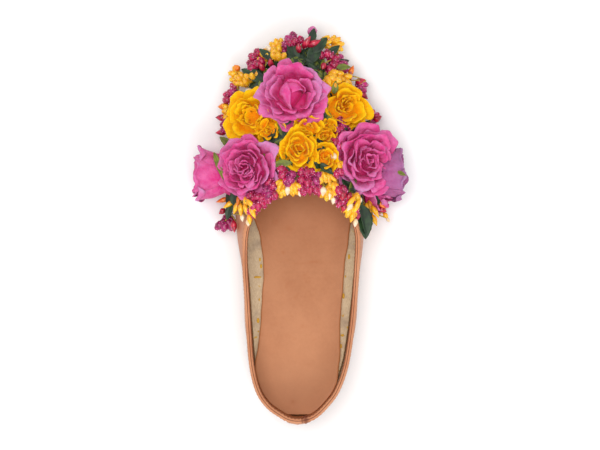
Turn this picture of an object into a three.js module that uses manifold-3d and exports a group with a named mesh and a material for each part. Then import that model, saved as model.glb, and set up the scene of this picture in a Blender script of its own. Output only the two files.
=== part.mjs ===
// Mojari shoe for the right foot: a leather slip-on with a low closed quarter,
// a rolled topline and a vamp covered with fabric roses, buds and leaves.
// Millimetres, +Z up, toe along +Y, little-toe side along +X. The last is laid out
// from the back of the heel, and the finished group is moved so that its origin
// is the middle of the heel's tread, on the floor.

import * as THREE from 'three';
import { mergeVertices } from 'three/addons/utils/BufferGeometryUtils.js';
import Module from 'manifold-3d';

const wasm = await Module();
wasm.setup();

// Driving dimensions of the last
const SHOE_LENGTH = 250;
const BALL_WIDTH = 91;
const HEEL_RIM_HEIGHT = 52;
const QUARTER_RIM_HEIGHT = 41;
const THROAT_HEIGHT = 55;

// Driving dimensions of the bottom
const SOLE_THICKNESS = 4;
const HEEL_HEIGHT = 7;
const HEEL_LENGTH = 60;
const HEEL_TAPER = 1.6;
const HEEL_CHAMFER = 0.5;
const HEEL_SEAT_INSET = 0.3;
const BREAST_HOLLOW = 4;
const TOE_SPRING = 7;
const EDGE_CHAMFER = 0.9;
const SOLE_STEP = 0.8;
const SOLE_STEP_HEIGHT = 1.2;
const HEEL_REST_FROM_BACK = 33;

// Driving dimensions of the upper and what lines it
const WALL = 2;
const SKIVED_WALL = 1;
const SKIVE_DEPTH = 4.2;
const SKIVE_RUN = 0.8;
const FEATHER_TUCK = 1.8;
const WALL_BULGE = 0.9;
const BINDING_THICKNESS = 0.8;
const BINDING_DEPTH = 3.6;
const BACK_STRIP_WIDTH = 15;
const BACK_STRIP_THICKNESS = 1;
const BACK_STRIP_FOOT_CLEARANCE = 2;
const INSOLE_THICKNESS = 2.2;
const SOCK_THICKNESS = 1.2;

// Driving dimensions of the trimming
const ROSE_DIAMETER = 46;
const ROSE_HEIGHT = 21;
const SMALL_ROSE_DIAMETER = 34;
const SMALL_ROSE_HEIGHT = 15;
const BUD_LENGTH = 9;
const BUD_WIDTH = 6.4;
const SPRAY_HEIGHT = 9;
const LEAF_LENGTH = 22;
const LEAF_WIDTH = 12;
const LEAF_THICKNESS = 3;
const STEM_WIDTH = 6;

// Clearance between neighbouring pieces
const GAP = 0.3;
// Two curved faces with different facets need a little more
const CURVED_GAP = 0.4;

// How finely the solids are divided
const STATIONS_PER_ROW = 2;
const WALL_ROWS = 5;
const FOOT_ROW = 4.5;
const ROSE_COLUMNS = 16;
const SMALL_ROSE_COLUMNS = 12;
const BUD_SIDES = 5;

const BACK_STRIP_COLUMNS = 4;
const BACK_STRIP_ROWS = 5;
const HEEL_SIDE_STEPS = 12;
const BREAST_STEPS = 6;
const SOCK_SIDE_STEPS = 26;

const HALF_BALL = BALL_WIDTH / 2;
const UP = new THREE.Vector3(0, 0, 1);

// The ribs of the upper from the heel's back to the toe. at, medial and lateral
// place the widest line; topAt, topMedial and topLateral the topline: lengths are
// shares of SHOE_LENGTH, widths of half BALL_WIDTH. heelClimb and throatClimb are
// the shares of the climb from the quarter's rim to the heel's and to the throat's.
// rise is how far up a rib stands before it turns in, lead and drop how it leaves
// the topline.
const RIB_COLUMNS = ['at', 'medial', 'lateral', 'topAt', 'topMedial', 'topLateral',
  'heelClimb', 'throatClimb', 'rise', 'lead', 'drop'];
const RIB_ROWS = [
  [0.0000, 0.033, -0.033, 0.0064, 0.033, -0.033, 1.00, 0.000, 0.36, 0.90, 0.40],
  [0.0034, 0.158, 0.105, 0.0094, 0.148, 0.094, 0.99, 0.000, 0.36, 0.90, 0.40],
  [0.0150, 0.290, 0.250, 0.0204, 0.272, 0.230, 0.96, 0.000, 0.36, 0.90, 0.40],
  [0.0420, 0.500, 0.415, 0.0460, 0.465, 0.380, 0.86, 0.000, 0.36, 0.90, 0.40],
  [0.0840, 0.654, 0.582, 0.0860, 0.614, 0.545, 0.66, 0.000, 0.37, 0.90, 0.40],
  [0.1520, 0.747, 0.716, 0.1520, 0.708, 0.677, 0.36, 0.000, 0.38, 0.90, 0.40],
  [0.2440, 0.796, 0.804, 0.2440, 0.752, 0.760, 0.10, 0.000, 0.38, 0.90, 0.40],
  [0.3400, 0.831, 0.864, 0.3360, 0.782, 0.809, 0.00, 0.000, 0.38, 0.88, 0.40],
  [0.4320, 0.879, 0.914, 0.4240, 0.809, 0.840, 0.00, 0.050, 0.38, 0.84, 0.39],
  [0.5120, 0.945, 0.952, 0.4880, 0.804, 0.853, 0.00, 0.160, 0.38, 0.74, 0.37],
  [0.6000, 0.996, 0.993, 0.5260, 0.768, 0.818, 0.00, 0.300, 0.39, 0.62, 0.34],
  [0.6880, 1.002, 0.978, 0.5550, 0.676, 0.732, 0.00, 0.480, 0.41, 0.54, 0.31],
  [0.7760, 0.956, 0.901, 0.5790, 0.556, 0.608, 0.00, 0.650, 0.43, 0.50, 0.29],
  [0.8560, 0.835, 0.758, 0.5975, 0.424, 0.468, 0.00, 0.800, 0.46, 0.50, 0.28],
  [0.9240, 0.643, 0.560, 0.6105, 0.291, 0.324, 0.00, 0.900, 0.49, 0.50, 0.28],
  [0.9690, 0.416, 0.330, 0.6175, 0.176, 0.196, 0.00, 0.960, 0.51, 0.50, 0.28],
  [0.9920, 0.235, 0.124, 0.6195, 0.084, 0.092, 0.00, 0.990, 0.52, 0.50, 0.28],
  [1.0000, 0.066, -0.066, 0.6200, -0.004, 0.004, 0.00, 1.000, 0.52, 0.50, 0.28],
];
const RIBS = RIB_ROWS.map((row) => Object.fromEntries(row.map((value, i) => [RIB_COLUMNS[i], value])));

// The sock lining, narrower than the insole at the waist and cut square at the
// back: shares of SHOE_LENGTH, and of half BALL_WIDTH to each side.
const SOCK_ROWS = [
  { at: 0.033, medial: 0.24, lateral: 0.13 },
  { at: 0.050, medial: 0.36, lateral: 0.25 },
  { at: 0.090, medial: 0.52, lateral: 0.43 },
  { at: 0.152, medial: 0.63, lateral: 0.58 },
  { at: 0.244, medial: 0.595, lateral: 0.595 },
  { at: 0.316, medial: 0.565, lateral: 0.615 },
  { at: 0.384, medial: 0.542, lateral: 0.650 },
  { at: 0.432, medial: 0.550, lateral: 0.672 },
  { at: 0.476, medial: 0.590, lateral: 0.712 },
  { at: 0.520, medial: 0.690, lateral: 0.770 },
  { at: 0.600, medial: 0.850, lateral: 0.850 },
  { at: 0.688, medial: 0.880, lateral: 0.855 },
  { at: 0.790, medial: 0.820, lateral: 0.755 },
  { at: 0.870, medial: 0.680, lateral: 0.580 },
  { at: 0.925, medial: 0.420, lateral: 0.320 },
  { at: 0.955, medial: 0.180, lateral: 0.070 },
];

// The rings of a rose from its foot to its heart, as shares of its half width
// and of its height: lobe is how far the petals stand out of the ring, and turn
// sets one ring's petals between those of the next.
const ROSE_RINGS = [
  { out: 0.45, up: -0.35, lobe: 0.00, turn: 0 },
  { out: 0.80, up: -0.08, lobe: 0.03, turn: 0 },
  { out: 0.96, up: 0.26, lobe: 0.08, turn: 0 },
  { out: 0.84, up: 0.42, lobe: 0.08, turn: 0 },
  { out: 0.68, up: 0.38, lobe: 0.05, turn: 1 },
  { out: 0.66, up: 0.66, lobe: 0.07, turn: 1 },
  { out: 0.54, up: 0.78, lobe: 0.07, turn: 1 },
  { out: 0.40, up: 0.68, lobe: 0.05, turn: 0 },
  { out: 0.34, up: 0.92, lobe: 0.06, turn: 0 },
  { out: 0.18, up: 0.90, lobe: 0.04, turn: 0 },
];
const SMALL_ROSE_RINGS = [
  { out: 0.45, up: -0.35, lobe: 0.00, turn: 0 },
  { out: 0.80, up: -0.05, lobe: 0.03, turn: 0 },
  { out: 0.95, up: 0.34, lobe: 0.09, turn: 0 },
  { out: 0.78, up: 0.50, lobe: 0.09, turn: 0 },
  { out: 0.58, up: 0.44, lobe: 0.05, turn: 1 },
  { out: 0.52, up: 0.86, lobe: 0.07, turn: 1 },
  { out: 0.28, up: 0.88, lobe: 0.05, turn: 1 },
];
const HEART_DIP = 0.97;
const LEAF_LIFT = 0.25;
// A leaf's half outline: shares of its half width and of its length
const LEAF_EDGE = [[0, 0], [0.8, 0.3], [1, 0.55], [0.5, 0.85], [0, 1]];

const ROSE_SIZES = {
  diameter: ROSE_DIAMETER, height: ROSE_HEIGHT, petals: 5, columns: ROSE_COLUMNS, profile: ROSE_RINGS,
};
const SMALL_ROSE_SIZES = {
  diameter: SMALL_ROSE_DIAMETER, height: SMALL_ROSE_HEIGHT, petals: 5, columns: SMALL_ROSE_COLUMNS,
  profile: SMALL_ROSE_RINGS,
};

function tableOf(columns, rows) {
  return rows.map((row) => Object.fromEntries(row.map((value, i) => [columns[i], value])));
}

// Where the trimming lies: at is a share of SHOE_LENGTH, across of half
// BALL_WIDTH. wide, long and tall are shares of the bloom's diameter and height,
// or for a spray of BUD_LENGTH. lean turns its axis from upright to square to the
// upper, and lift raises it by a share of its height.
const BLOOM_COLUMNS = ['name', 'at', 'across', 'wide', 'long', 'tall', 'lean', 'lift'];
const ROSES = tableOf(BLOOM_COLUMNS, [
  ['rose_left_side', 0.672, -1.100, 0.78, 0.92, 1.22, 0.80, 0.45],
  ['rose_right_side', 0.672, 1.100, 0.72, 0.92, 1.28, 0.80, 0.45],
  ['rose_centre', 0.886, -0.055, 1.06, 0.92, 1.00, 0.45, 0],
  ['rose_left', 0.687, -0.730, 0.84, 0.95, 1.00, 0.50, 0],
  ['rose_right', 0.695, 0.900, 0.86, 1.06, 1.00, 0.35, 0.35],
]);
const SMALL_ROSES = tableOf(BLOOM_COLUMNS, [
  ['yellow_left', 0.818, -0.675, 1.05, 1.05, 1.15, 0.55, 0],
  ['yellow_right', 0.846, 0.703, 0.98, 0.93, 1.15, 0.55, 0],
  ['yellow_centre', 0.724, -0.026, 0.72, 0.84, 1.00, 0.45, 0],
  ['yellow_centre_small', 0.704, 0.365, 0.60, 0.60, 0.80, 0.45, 0],
  ['yellow_upper', 0.790, 0.110, 0.68, 0.50, 0.85, 0.45, 0],
]);
const LEAF_COLUMNS = ['name', 'at', 'across', 'heading', 'long', 'lean'];
const LEAVES = tableOf(LEAF_COLUMNS, [
  ['leaf_toe_right', 1.000, 0.200, 22, 1.00, 0.6],
  ['leaf_toe_left', 0.985, -0.180, -25, 0.90, 0.6],
  ['leaf_left', 0.936, -0.670, -70, 1.10, 0.6],
  ['leaf_left_low', 0.610, -0.950, -140, 0.90, 0.8],
  ['leaf_right_low', 0.545, 0.880, 176, 1.00, 0.9],
  ['leaf_right_side', 0.600, 1.080, 120, 0.90, 0.8],
]);
const SPRAY_COLUMNS = ['name', 'at', 'across', 'wide', 'long', 'buds', 'turn', 'lean', 'lift', 'colour'];
const SPRAYS = tableOf(SPRAY_COLUMNS, [
  ['spray_toe', 1.012, 0.020, 2.7, 2.0, 5, 0.2, 0.5, 0.3, 'magenta'],
  ['spray_toe_right', 0.975, 0.550, 2.6, 2.9, 5, 0.6, 0.5, 0.3, 'magenta'],
  ['spray_right_far', 0.905, 0.930, 2.2, 2.8, 4, 0.1, 0.6, 0.3, 'magenta'],
  ['spray_right', 0.795, 1.040, 1.6, 2.0, 4, 0.9, 0.6, 0.4, 'crimson'],
  ['spray_toe_left', 0.985, -0.420, 2.1, 2.3, 4, 0.5, 0.5, 0.3, 'magenta'],
  ['spray_left_far', 0.925, -0.830, 2.5, 2.8, 5, 0.3, 0.6, 0.3, 'gold'],
  ['spray_left', 0.830, -1.060, 1.9, 3.4, 4, 0.8, 0.6, 0.3, 'magenta'],
  ['spray_left_low', 0.565, -0.930, 3.1, 3.2, 5, 0.8, 0.7, 0.1, 'gold'],
  ['spray_right_low', 0.570, 0.990, 3.2, 3.2, 5, 0.4, 0.7, 0.1, 'gold'],
  ['spray_throat_left', 0.635, -0.350, 3.4, 1.9, 5, 0.1, 0.4, 0.1, 'gold'],
  ['spray_throat_right', 0.640, 0.330, 3.4, 2.0, 5, 0.7, 0.4, 0.1, 'crimson'],
  ['spray_inner', 0.750, 0.530, 1.7, 2.4, 4, 0.3, 0.5, 0.1, 'magenta'],
]);

// The flat part of the outsole under the ball of the foot, from and to shares of
// SHOE_LENGTH; the sole climbs to the heel behind it and to the toe before it.
const TREAD = { from: 0.56, to: 0.768, toeCurve: 1.7 };

const PAINT = {
  leather: { color: 0xcf9066, roughness: 0.55, metalness: 0 },
  binding: { color: 0xc98a5e, roughness: 0.5, metalness: 0 },
  sole: { color: 0xa87850, roughness: 0.7, metalness: 0 },
  heel: { color: 0x8a5a38, roughness: 0.7, metalness: 0 },
  insole: { color: 0xd8c4a4, roughness: 0.75, metalness: 0 },
  sock: { color: 0xc58860, roughness: 0.5, metalness: 0 },
  rose: { color: 0xd04f9a, roughness: 0.8, metalness: 0 },
  yellow: { color: 0xf5b512, roughness: 0.8, metalness: 0 },
  leaf: { color: 0x4c6a3c, roughness: 0.8, metalness: 0 },
  magenta: { color: 0xb23585, roughness: 0.5, metalness: 0 },
  crimson: { color: 0xa8163c, roughness: 0.5, metalness: 0 },
  gold: { color: 0xe0a436, roughness: 0.5, metalness: 0 },
};

const shoe = new THREE.Group();

// Small mesh tools

function signedVolume(points, faces) {
  let six = 0;
  for (const [a, b, c] of faces) {
    six += points[a].dot(new THREE.Vector3().crossVectors(points[b], points[c]));
  }
  return six / 6;
}

function solidGeometry(points, faces) {
  const outward = signedVolume(points, faces) > 0 ? faces : faces.map(([a, b, c]) => [a, c, b]);
  const geometry = new THREE.BufferGeometry();
  geometry.setAttribute('position', new THREE.Float32BufferAttribute(points.flatMap((p) => p.toArray()), 3));
  geometry.setIndex(outward.flat());
  return geometry;
}

function addPiece(name, geometry, paint) {
  geometry.computeVertexNormals();
  const mesh = new THREE.Mesh(geometry, new THREE.MeshStandardMaterial(paint));
  mesh.name = name;
  shoe.add(mesh);
}

// A skin round a closed row of sections, each a closed loop of points
function loopedSkin(sections) {
  const size = sections[0].length;
  const points = sections.flat();
  const faces = [];
  sections.forEach((section, i) => {
    const next = (i + 1) % sections.length;
    for (let j = 0; j < size; j += 1) {
      const k = (j + 1) % size;
      faces.push([i * size + j, next * size + j, next * size + k]);
      faces.push([i * size + j, next * size + k, i * size + k]);
    }
  });
  return solidGeometry(points, faces);
}

// A face across a closed ring whose two halves mirror each other along the shoe
function ladderFaces(start, size, outward) {
  const faces = [];
  for (let i = 0; i < size / 2; i += 1) {
    const near = [start + i, start + ((size - i) % size)];
    const far = [start + i + 1, start + size - i - 1];
    if (near[0] !== near[1]) faces.push([near[0], near[1], far[0]]);
    if (far[0] !== far[1]) faces.push([near[1], far[1], far[0]]);
  }
  return outward ? faces : faces.map(([a, b, c]) => [a, c, b]);
}

// The faces between stacked rings that run the same way round
function sideFaces(rings, size) {
  const faces = [];
  for (let j = 0; j + 1 < rings; j += 1) {
    for (let i = 0; i < size; i += 1) {
      const k = (i + 1) % size;
      faces.push([j * size + i, (j + 1) * size + k, (j + 1) * size + i]);
      faces.push([j * size + i, j * size + k, (j + 1) * size + k]);
    }
  }
  return faces;
}

// A skin over rings stacked from the bottom up, closed across both ends
function stackedSkin(rings) {
  const size = rings[0].length;
  const last = (rings.length - 1) * size;
  const ends = [...ladderFaces(0, size, true), ...ladderFaces(last, size, false)];
  return solidGeometry(rings.flat(), [...sideFaces(rings.length, size), ...ends]);
}

// A skin over flat-ended loops: each loop is a front row and its back row reversed
function stripSkin(rings) {
  const size = rings[0].length;
  const last = (rings.length - 1) * size;
  const ends = [];
  for (let i = 0; i + 1 < size / 2; i += 1) {
    const mate = size - 1 - i;
    ends.push([i, mate - 1, i + 1], [i, mate, mate - 1]);
    ends.push([last + i, last + i + 1, last + mate - 1], [last + i, last + mate - 1, last + mate]);
  }
  return solidGeometry(rings.flat(), [...sideFaces(rings.length, size), ...ends]);
}

// The last: closed curves through the table's rows, medial side first

function loopOf(medialPoint, lateralPoint) {
  const medial = RIBS.map(medialPoint);
  const lateral = RIBS.slice(1, -1).reverse().map(lateralPoint);
  return new THREE.CatmullRomCurve3([...medial, ...lateral], true, 'catmullrom', 0.5);
}

const widestLoop = loopOf(
  (rib) => new THREE.Vector3(-rib.medial * HALF_BALL, rib.at * SHOE_LENGTH, 0),
  (rib) => new THREE.Vector3(rib.lateral * HALF_BALL, rib.at * SHOE_LENGTH, 0),
);

function rimHeight(rib) {
  return QUARTER_RIM_HEIGHT + rib.heelClimb * (HEEL_RIM_HEIGHT - QUARTER_RIM_HEIGHT)
    + rib.throatClimb * (THROAT_HEIGHT - QUARTER_RIM_HEIGHT);
}

const toplineLoop = loopOf(
  (rib) => new THREE.Vector3(-rib.topMedial * HALF_BALL, rib.topAt * SHOE_LENGTH, rimHeight(rib)),
  (rib) => new THREE.Vector3(rib.topLateral * HALF_BALL, rib.topAt * SHOE_LENGTH, rimHeight(rib)),
);

const shapeOf = (rib) => new THREE.Vector3(rib.rise, rib.lead, rib.drop);
const shapeLoop = loopOf(shapeOf, shapeOf);

const RING_SIZE = (RIBS.length - 1) * 2 * STATIONS_PER_ROW;
const STATIONS = Array.from({ length: RING_SIZE }, (_, i) => i / RING_SIZE);

// Outward direction of the widest line, in plan
function outwardAt(u) {
  const step = 0.002;
  const ahead = widestLoop.getPoint((u + step) % 1);
  const behind = widestLoop.getPoint((u + 1 - step) % 1);
  const along = ahead.sub(behind);
  return new THREE.Vector3(-along.y, along.x, 0).normalize();
}

// The outline of the last, moved in by a distance
function outlinePoint(u, inset) {
  return widestLoop.getPoint(u).addScaledVector(outwardAt(u), -inset);
}

// The sole's two faces, seen from the side

function ease(from, to, value) {
  return THREE.MathUtils.smoothstep(value, from, to);
}

function soleBottom(y) {
  const arch = HEEL_HEIGHT * (1 - ease(HEEL_LENGTH, TREAD.from * SHOE_LENGTH, y));
  const past = Math.max(0, (y / SHOE_LENGTH - TREAD.to) / (1 - TREAD.to));
  return arch + TOE_SPRING * past ** TREAD.toeCurve;
}

function soleTop(y) {
  return soleBottom(y) + SOLE_THICKNESS;
}

// A ring of the last's outline at a height that follows the sole
function soleRing(inset, heightAt) {
  return STATIONS.map((u) => {
    const point = outlinePoint(u, inset);
    point.z = heightAt(point.y);
    return point;
  });
}

// A rib of the upper's outer face, from the feather edge to the topline

function ribCurve(u) {
  const widest = widestLoop.getPoint(u);
  const outward = outwardAt(u);
  const foot = widest.clone().addScaledVector(outward, -FEATHER_TUCK);
  foot.z = soleTop(foot.y) + GAP;
  const rim = toplineLoop.getPoint(u);
  const shape = shapeLoop.getPoint(u);
  const climb = rim.z - foot.z;
  const stand = widest.clone().addScaledVector(outward, WALL_BULGE);
  stand.z = foot.z + shape.x * climb;
  const crown = rim.clone().lerp(widest, shape.y);
  crown.z = rim.z - shape.z * climb;
  return new THREE.CubicBezierCurve3(foot, stand, crown, rim);
}

// A point of the outer face at a share of its rib, and the face's normal there
function facePoint(u, share) {
  return ribCurve(u).getPoint(share);
}

function faceNormal(u, share) {
  const step = 0.004;
  const curve = ribCurve(u);
  const upward = curve.getTangent(THREE.MathUtils.clamp(share, 0.01, 0.99));
  const along = facePoint((u + step) % 1, share).sub(facePoint((u + 1 - step) % 1, share));
  return new THREE.Vector3().crossVectors(upward, along).normalize();
}

// The rim of the wall, straight over the depth that the binding folds over
function rimFrame(u) {
  const rim = facePoint(u, 1);
  const down = ribCurve(u).getTangent(1).negate();
  return { rim, down, normal: faceNormal(u, 1) };
}

// Rows up one rib: the wall below the skive, its step and the skived edge
function wallRows(u) {
  const curve = ribCurve(u);
  const length = curve.getLength();
  const rows = [];
  const bodyLength = length - SKIVE_DEPTH - SKIVE_RUN;
  for (let row = 0; row <= WALL_ROWS; row += 1) {
    const distance = row === 0 ? 0 : FOOT_ROW + ((bodyLength - FOOT_ROW) * (row - 1)) / (WALL_ROWS - 1);
    const share = curve.getUtoTmapping(distance / length);
    rows.push({ point: curve.getPoint(share), normal: faceNormal(u, share), wall: WALL });
  }
  const { rim, down, normal } = rimFrame(u);
  rows.push({ point: rim.clone().addScaledVector(down, SKIVE_DEPTH), normal, wall: SKIVED_WALL });
  rows.push({ point: rim, normal, wall: SKIVED_WALL });
  return rows;
}

function upperSection(u) {
  const rows = wallRows(u);
  const outer = rows.map((row) => row.point.clone());
  const inner = rows.map((row) => row.point.clone().addScaledVector(row.normal, -row.wall));
  inner[0] = rows[0].point.clone().addScaledVector(outwardAt(u), -WALL);
  return [...outer, ...inner.reverse()];
}

// The binding folds over the skived edge, with a rounded fold
function bindingSection(u) {
  const { rim, down, normal } = rimFrame(u);
  const near = GAP;
  const far = GAP + BINDING_THICKNESS;
  const inside = -SKIVED_WALL;
  const outline = [
    [near, BINDING_DEPTH], [far, BINDING_DEPTH], [far, 0], [far * 0.3, -far], [inside - far * 0.3, -far],
    [inside - far, 0], [inside - far, BINDING_DEPTH], [inside - near, BINDING_DEPTH],
    [inside - near, -near], [near, -near],
  ];
  return outline.map(([out, depth]) => rim.clone().addScaledVector(normal, out).addScaledVector(down, depth));
}

function buildUpper() {
  addPiece('upper', loopedSkin(STATIONS.map(upperSection)), PAINT.leather);
  addPiece('topline_binding', loopedSkin(STATIONS.map(bindingSection)), PAINT.binding);
}

// The share round the outline at which it is a distance from the heel's back point
function shareAcross(distance) {
  const start = widestLoop.getPoint(0);
  let share = 0;
  while (widestLoop.getPoint(share).distanceTo(start) < distance) share += 0.0005;
  return share;
}

// A strip over the back seam, laid on the upper's own face
function buildBackStrip() {
  const halfShare = shareAcross(BACK_STRIP_WIDTH / 2);
  const ribLength = ribCurve(0).getLength();
  const lowest = BACK_STRIP_FOOT_CLEARANCE / ribLength;
  const highest = 1 - (BINDING_DEPTH + 4 * GAP) / ribLength;
  const rings = [];
  for (let row = 0; row <= BACK_STRIP_ROWS; row += 1) {
    const share = THREE.MathUtils.lerp(lowest, highest, row / BACK_STRIP_ROWS);
    const face = [];
    const back = [];
    for (let column = 0; column <= BACK_STRIP_COLUMNS; column += 1) {
      const u = (1 + THREE.MathUtils.lerp(-halfShare, halfShare, column / BACK_STRIP_COLUMNS)) % 1;
      const point = facePoint(u, share);
      const normal = faceNormal(u, share);
      face.push(point.clone().addScaledVector(normal, CURVED_GAP + BACK_STRIP_THICKNESS));
      back.push(point.clone().addScaledVector(normal, CURVED_GAP));
    }
    rings.push([...face, ...back.reverse()]);
  }
  addPiece('back_strip', stripSkin(rings), PAINT.leather);
}

// The bottom: outsole with a chamfered edge and a stepped feather, heel, insole

function buildOutsole() {
  const margin = SOLE_STEP;
  const rings = [
    soleRing(margin + EDGE_CHAMFER, soleBottom),
    soleRing(margin, (y) => soleBottom(y) + EDGE_CHAMFER),
    soleRing(margin, (y) => soleTop(y) - SOLE_STEP_HEIGHT),
    soleRing(margin + SOLE_STEP, (y) => soleTop(y) - SOLE_STEP_HEIGHT * 0.7),
    soleRing(margin + SOLE_STEP, soleTop),
  ];
  addPiece('outsole', stackedSkin(rings), PAINT.sole);
}

// The heel's outline: the sole's outline back from the breast, which is hollow
function heelRing(inset, height) {
  const reach = shareAtLength(HEEL_LENGTH - inset);
  const ring = [];
  for (let i = 0; i <= HEEL_SIDE_STEPS; i += 1) {
    const u = THREE.MathUtils.lerp(-reach, reach, i / HEEL_SIDE_STEPS);
    ring.push(outlinePoint((u + 1) % 1, SOLE_STEP + inset));
  }
  const first = ring[ring.length - 1];
  const last = ring[0];
  for (let i = 1; i < BREAST_STEPS; i += 1) {
    const share = i / BREAST_STEPS;
    const point = first.clone().lerp(last, share);
    point.y -= BREAST_HOLLOW * Math.sin(Math.PI * share);
    ring.push(point);
  }
  return ring.map((p) => new THREE.Vector3(p.x, p.y, height));
}

// The share round the outline at which it reaches a distance from the heel's back
function shareAtLength(y) {
  let low = 0;
  let high = 0.5;
  for (let i = 0; i < 40; i += 1) {
    const middle = (low + high) / 2;
    if (outlinePoint(middle, SOLE_STEP).y < y) low = middle;
    else high = middle;
  }
  return low;
}

function buildHeel() {
  const rings = [
    heelRing(HEEL_TAPER + HEEL_CHAMFER, 0),
    heelRing(HEEL_TAPER, HEEL_CHAMFER),
    heelRing(HEEL_SEAT_INSET, HEEL_HEIGHT - GAP),
  ];
  const size = rings[0].length;
  const capOf = (ring, first) => THREE.ShapeUtils
    .triangulateShape(ring.map((p) => new THREE.Vector2(p.x, p.y)), [])
    .map((corners) => corners.map((corner) => corner + first));
  const floor = capOf(rings[0], 0);
  const seat = capOf(rings[2], 2 * size).map(([a, b, c]) => [a, c, b]);
  const faces = [...sideFaces(rings.length, size), ...floor, ...seat];
  addPiece('heel', solidGeometry(rings.flat(), faces), PAINT.heel);
}

function buildInsole() {
  const inset = FEATHER_TUCK + WALL + GAP * 2;
  const base = (y) => soleTop(y) + GAP;
  const rings = [
    soleRing(inset, base),
    soleRing(inset, (y) => base(y) + INSOLE_THICKNESS),
  ];
  addPiece('insole_board', stackedSkin(rings), PAINT.insole);
}

function sockSide(side) {
  const points = SOCK_ROWS.map((row) => new THREE.Vector3(row[side] * HALF_BALL, row.at * SHOE_LENGTH, 0));
  return new THREE.CatmullRomCurve3(points, false, 'catmullrom', 0.5).getPoints(SOCK_SIDE_STEPS);
}

function buildSock() {
  const medial = sockSide('medial').map((p) => new THREE.Vector3(-p.x, p.y, 0));
  const lateral = sockSide('lateral').reverse();
  const ring = [...medial, ...lateral];
  const base = (y) => soleTop(y) + GAP + INSOLE_THICKNESS + GAP;
  const layer = (rise) => ring.map((p) => new THREE.Vector3(p.x, p.y, base(p.y) + rise));
  addPiece('sock', stripSkin([layer(0), layer(SOCK_THICKNESS)]), PAINT.sock);
}

// The trimming: roses, sprays of buds and leaves seated on the vamp

function manifoldOf(geometry) {
  const bare = geometry.clone();
  bare.deleteAttribute('normal');
  bare.deleteAttribute('uv');
  const merged = mergeVertices(bare, 1e-4);
  const mesh = new wasm.Mesh({
    numProp: 3,
    vertProperties: new Float32Array(merged.attributes.position.array),
    triVerts: new Uint32Array(merged.index.array),
  });
  return new wasm.Manifold(mesh);
}

function geometryOf(solid) {
  const mesh = solid.getMesh();
  const geometry = new THREE.BufferGeometry();
  geometry.setAttribute('position', new THREE.Float32BufferAttribute(mesh.vertProperties, 3));
  geometry.setIndex(Array.from(mesh.triVerts));
  return geometry;
}

// What the trimming must clear: the closed form of the upper, and the binding
function upperEnvelope() {
  const clear = (row) => row.point.clone().addScaledVector(row.normal, GAP);
  const columns = STATIONS.map((u) => wallRows(u).map(clear));
  const rings = columns[0].map((_, row) => columns.map((column) => column[row]));
  rings.unshift(rings[0].map((p) => new THREE.Vector3(p.x, p.y, -SOLE_THICKNESS)));
  return manifoldOf(stackedSkin(rings));
}

function bindingEnvelope() {
  const far = 2 * GAP + BINDING_THICKNESS;
  const inside = -SKIVED_WALL;
  const depth = BINDING_DEPTH + GAP;
  const outline = [
    [far, depth], [far, 0], [far * 0.6, -far * 0.8], [inside / 2, -far],
    [inside - far * 0.6, -far * 0.8], [inside - far, 0], [inside - far, depth],
  ];
  return manifoldOf(loopedSkin(STATIONS.map((u) => {
    const { rim, down, normal } = rimFrame(u);
    return outline.map(([out, drop]) => rim.clone().addScaledVector(normal, out).addScaledVector(down, drop));
  })));
}

// The place on the upper's face nearest to a point in plan
function seatNear(x, y) {
  const away = (u, share) => {
    const p = facePoint((u + 1) % 1, share);
    return Math.hypot(p.x - x, p.y - y);
  };
  let best = { u: 0, share: 0.5, distance: Infinity };
  for (const u of STATIONS) {
    for (let share = 0.2; share < 0.99; share += 0.08) {
      const distance = away(u, share);
      if (distance < best.distance) best = { u, share, distance };
    }
  }
  let reach = 0.5 / RING_SIZE;
  for (let round = 0; round < 6; round += 1) {
    for (const [du, ds] of [[1, 0], [-1, 0], [0, 3], [0, -3]]) {
      const u = best.u + du * reach;
      const share = THREE.MathUtils.clamp(best.share + ds * reach, 0.15, 0.98);
      const distance = away(u, share);
      if (distance < best.distance) best = { u, share, distance };
    }
    reach *= 0.7;
  }
  const u = (best.u + 1) % 1;
  return { point: facePoint(u, best.share), normal: faceNormal(u, best.share) };
}

// A frame at a place in plan, its axis between straight up and the face's normal
function seatFrame(row, lift) {
  const x = row.across * HALF_BALL;
  const y = row.at * SHOE_LENGTH;
  const seat = seatNear(x, y);
  const axis = UP.clone().lerp(seat.normal, row.lean).normalize();
  const across = new THREE.Vector3(1, 0, 0).addScaledVector(axis, -axis.x);
  if (across.length() < 0.3) across.set(0, 1, 0).addScaledVector(axis, -axis.y);
  across.normalize();
  const along = new THREE.Vector3().crossVectors(axis, across);
  const origin = seat.point.clone().addScaledVector(UP, lift);
  return { x, y, seat, axis, across, along, origin };
}

function place(frame, out, side, up) {
  return frame.origin.clone().addScaledVector(frame.across, out)
    .addScaledVector(frame.along, side).addScaledVector(frame.axis, up);
}

// A closed bloom: rows of lobed rings from the foot over the petals to the heart
function bloomSolid(row, sizes, grow) {
  const frame = seatFrame(row, row.lift * sizes.height);
  const halfWide = (row.wide * sizes.diameter) / 2 + grow;
  const halfLong = (row.long * sizes.diameter) / 2 + grow;
  const tall = row.tall * sizes.height;
  const points = [place(frame, 0, 0, sizes.profile[0].up * tall - grow)];
  sizes.profile.forEach((ring) => {
    for (let i = 0; i < sizes.columns; i += 1) {
      const angle = (2 * Math.PI * i) / sizes.columns;
      const wave = Math.cos(sizes.petals * angle + ring.turn * Math.PI);
      const out = ring.out * (1 + ring.lobe * wave);
      const up = tall * (ring.up + 0.5 * ring.lobe * wave) + (ring.up > 0 ? grow : -grow);
      points.push(place(frame, halfWide * out * Math.cos(angle), halfLong * out * Math.sin(angle), up));
    }
  });
  points.push(place(frame, 0, 0, tall * HEART_DIP + grow));
  return manifoldOf(poleSkin(points, sizes.columns));
}

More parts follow.
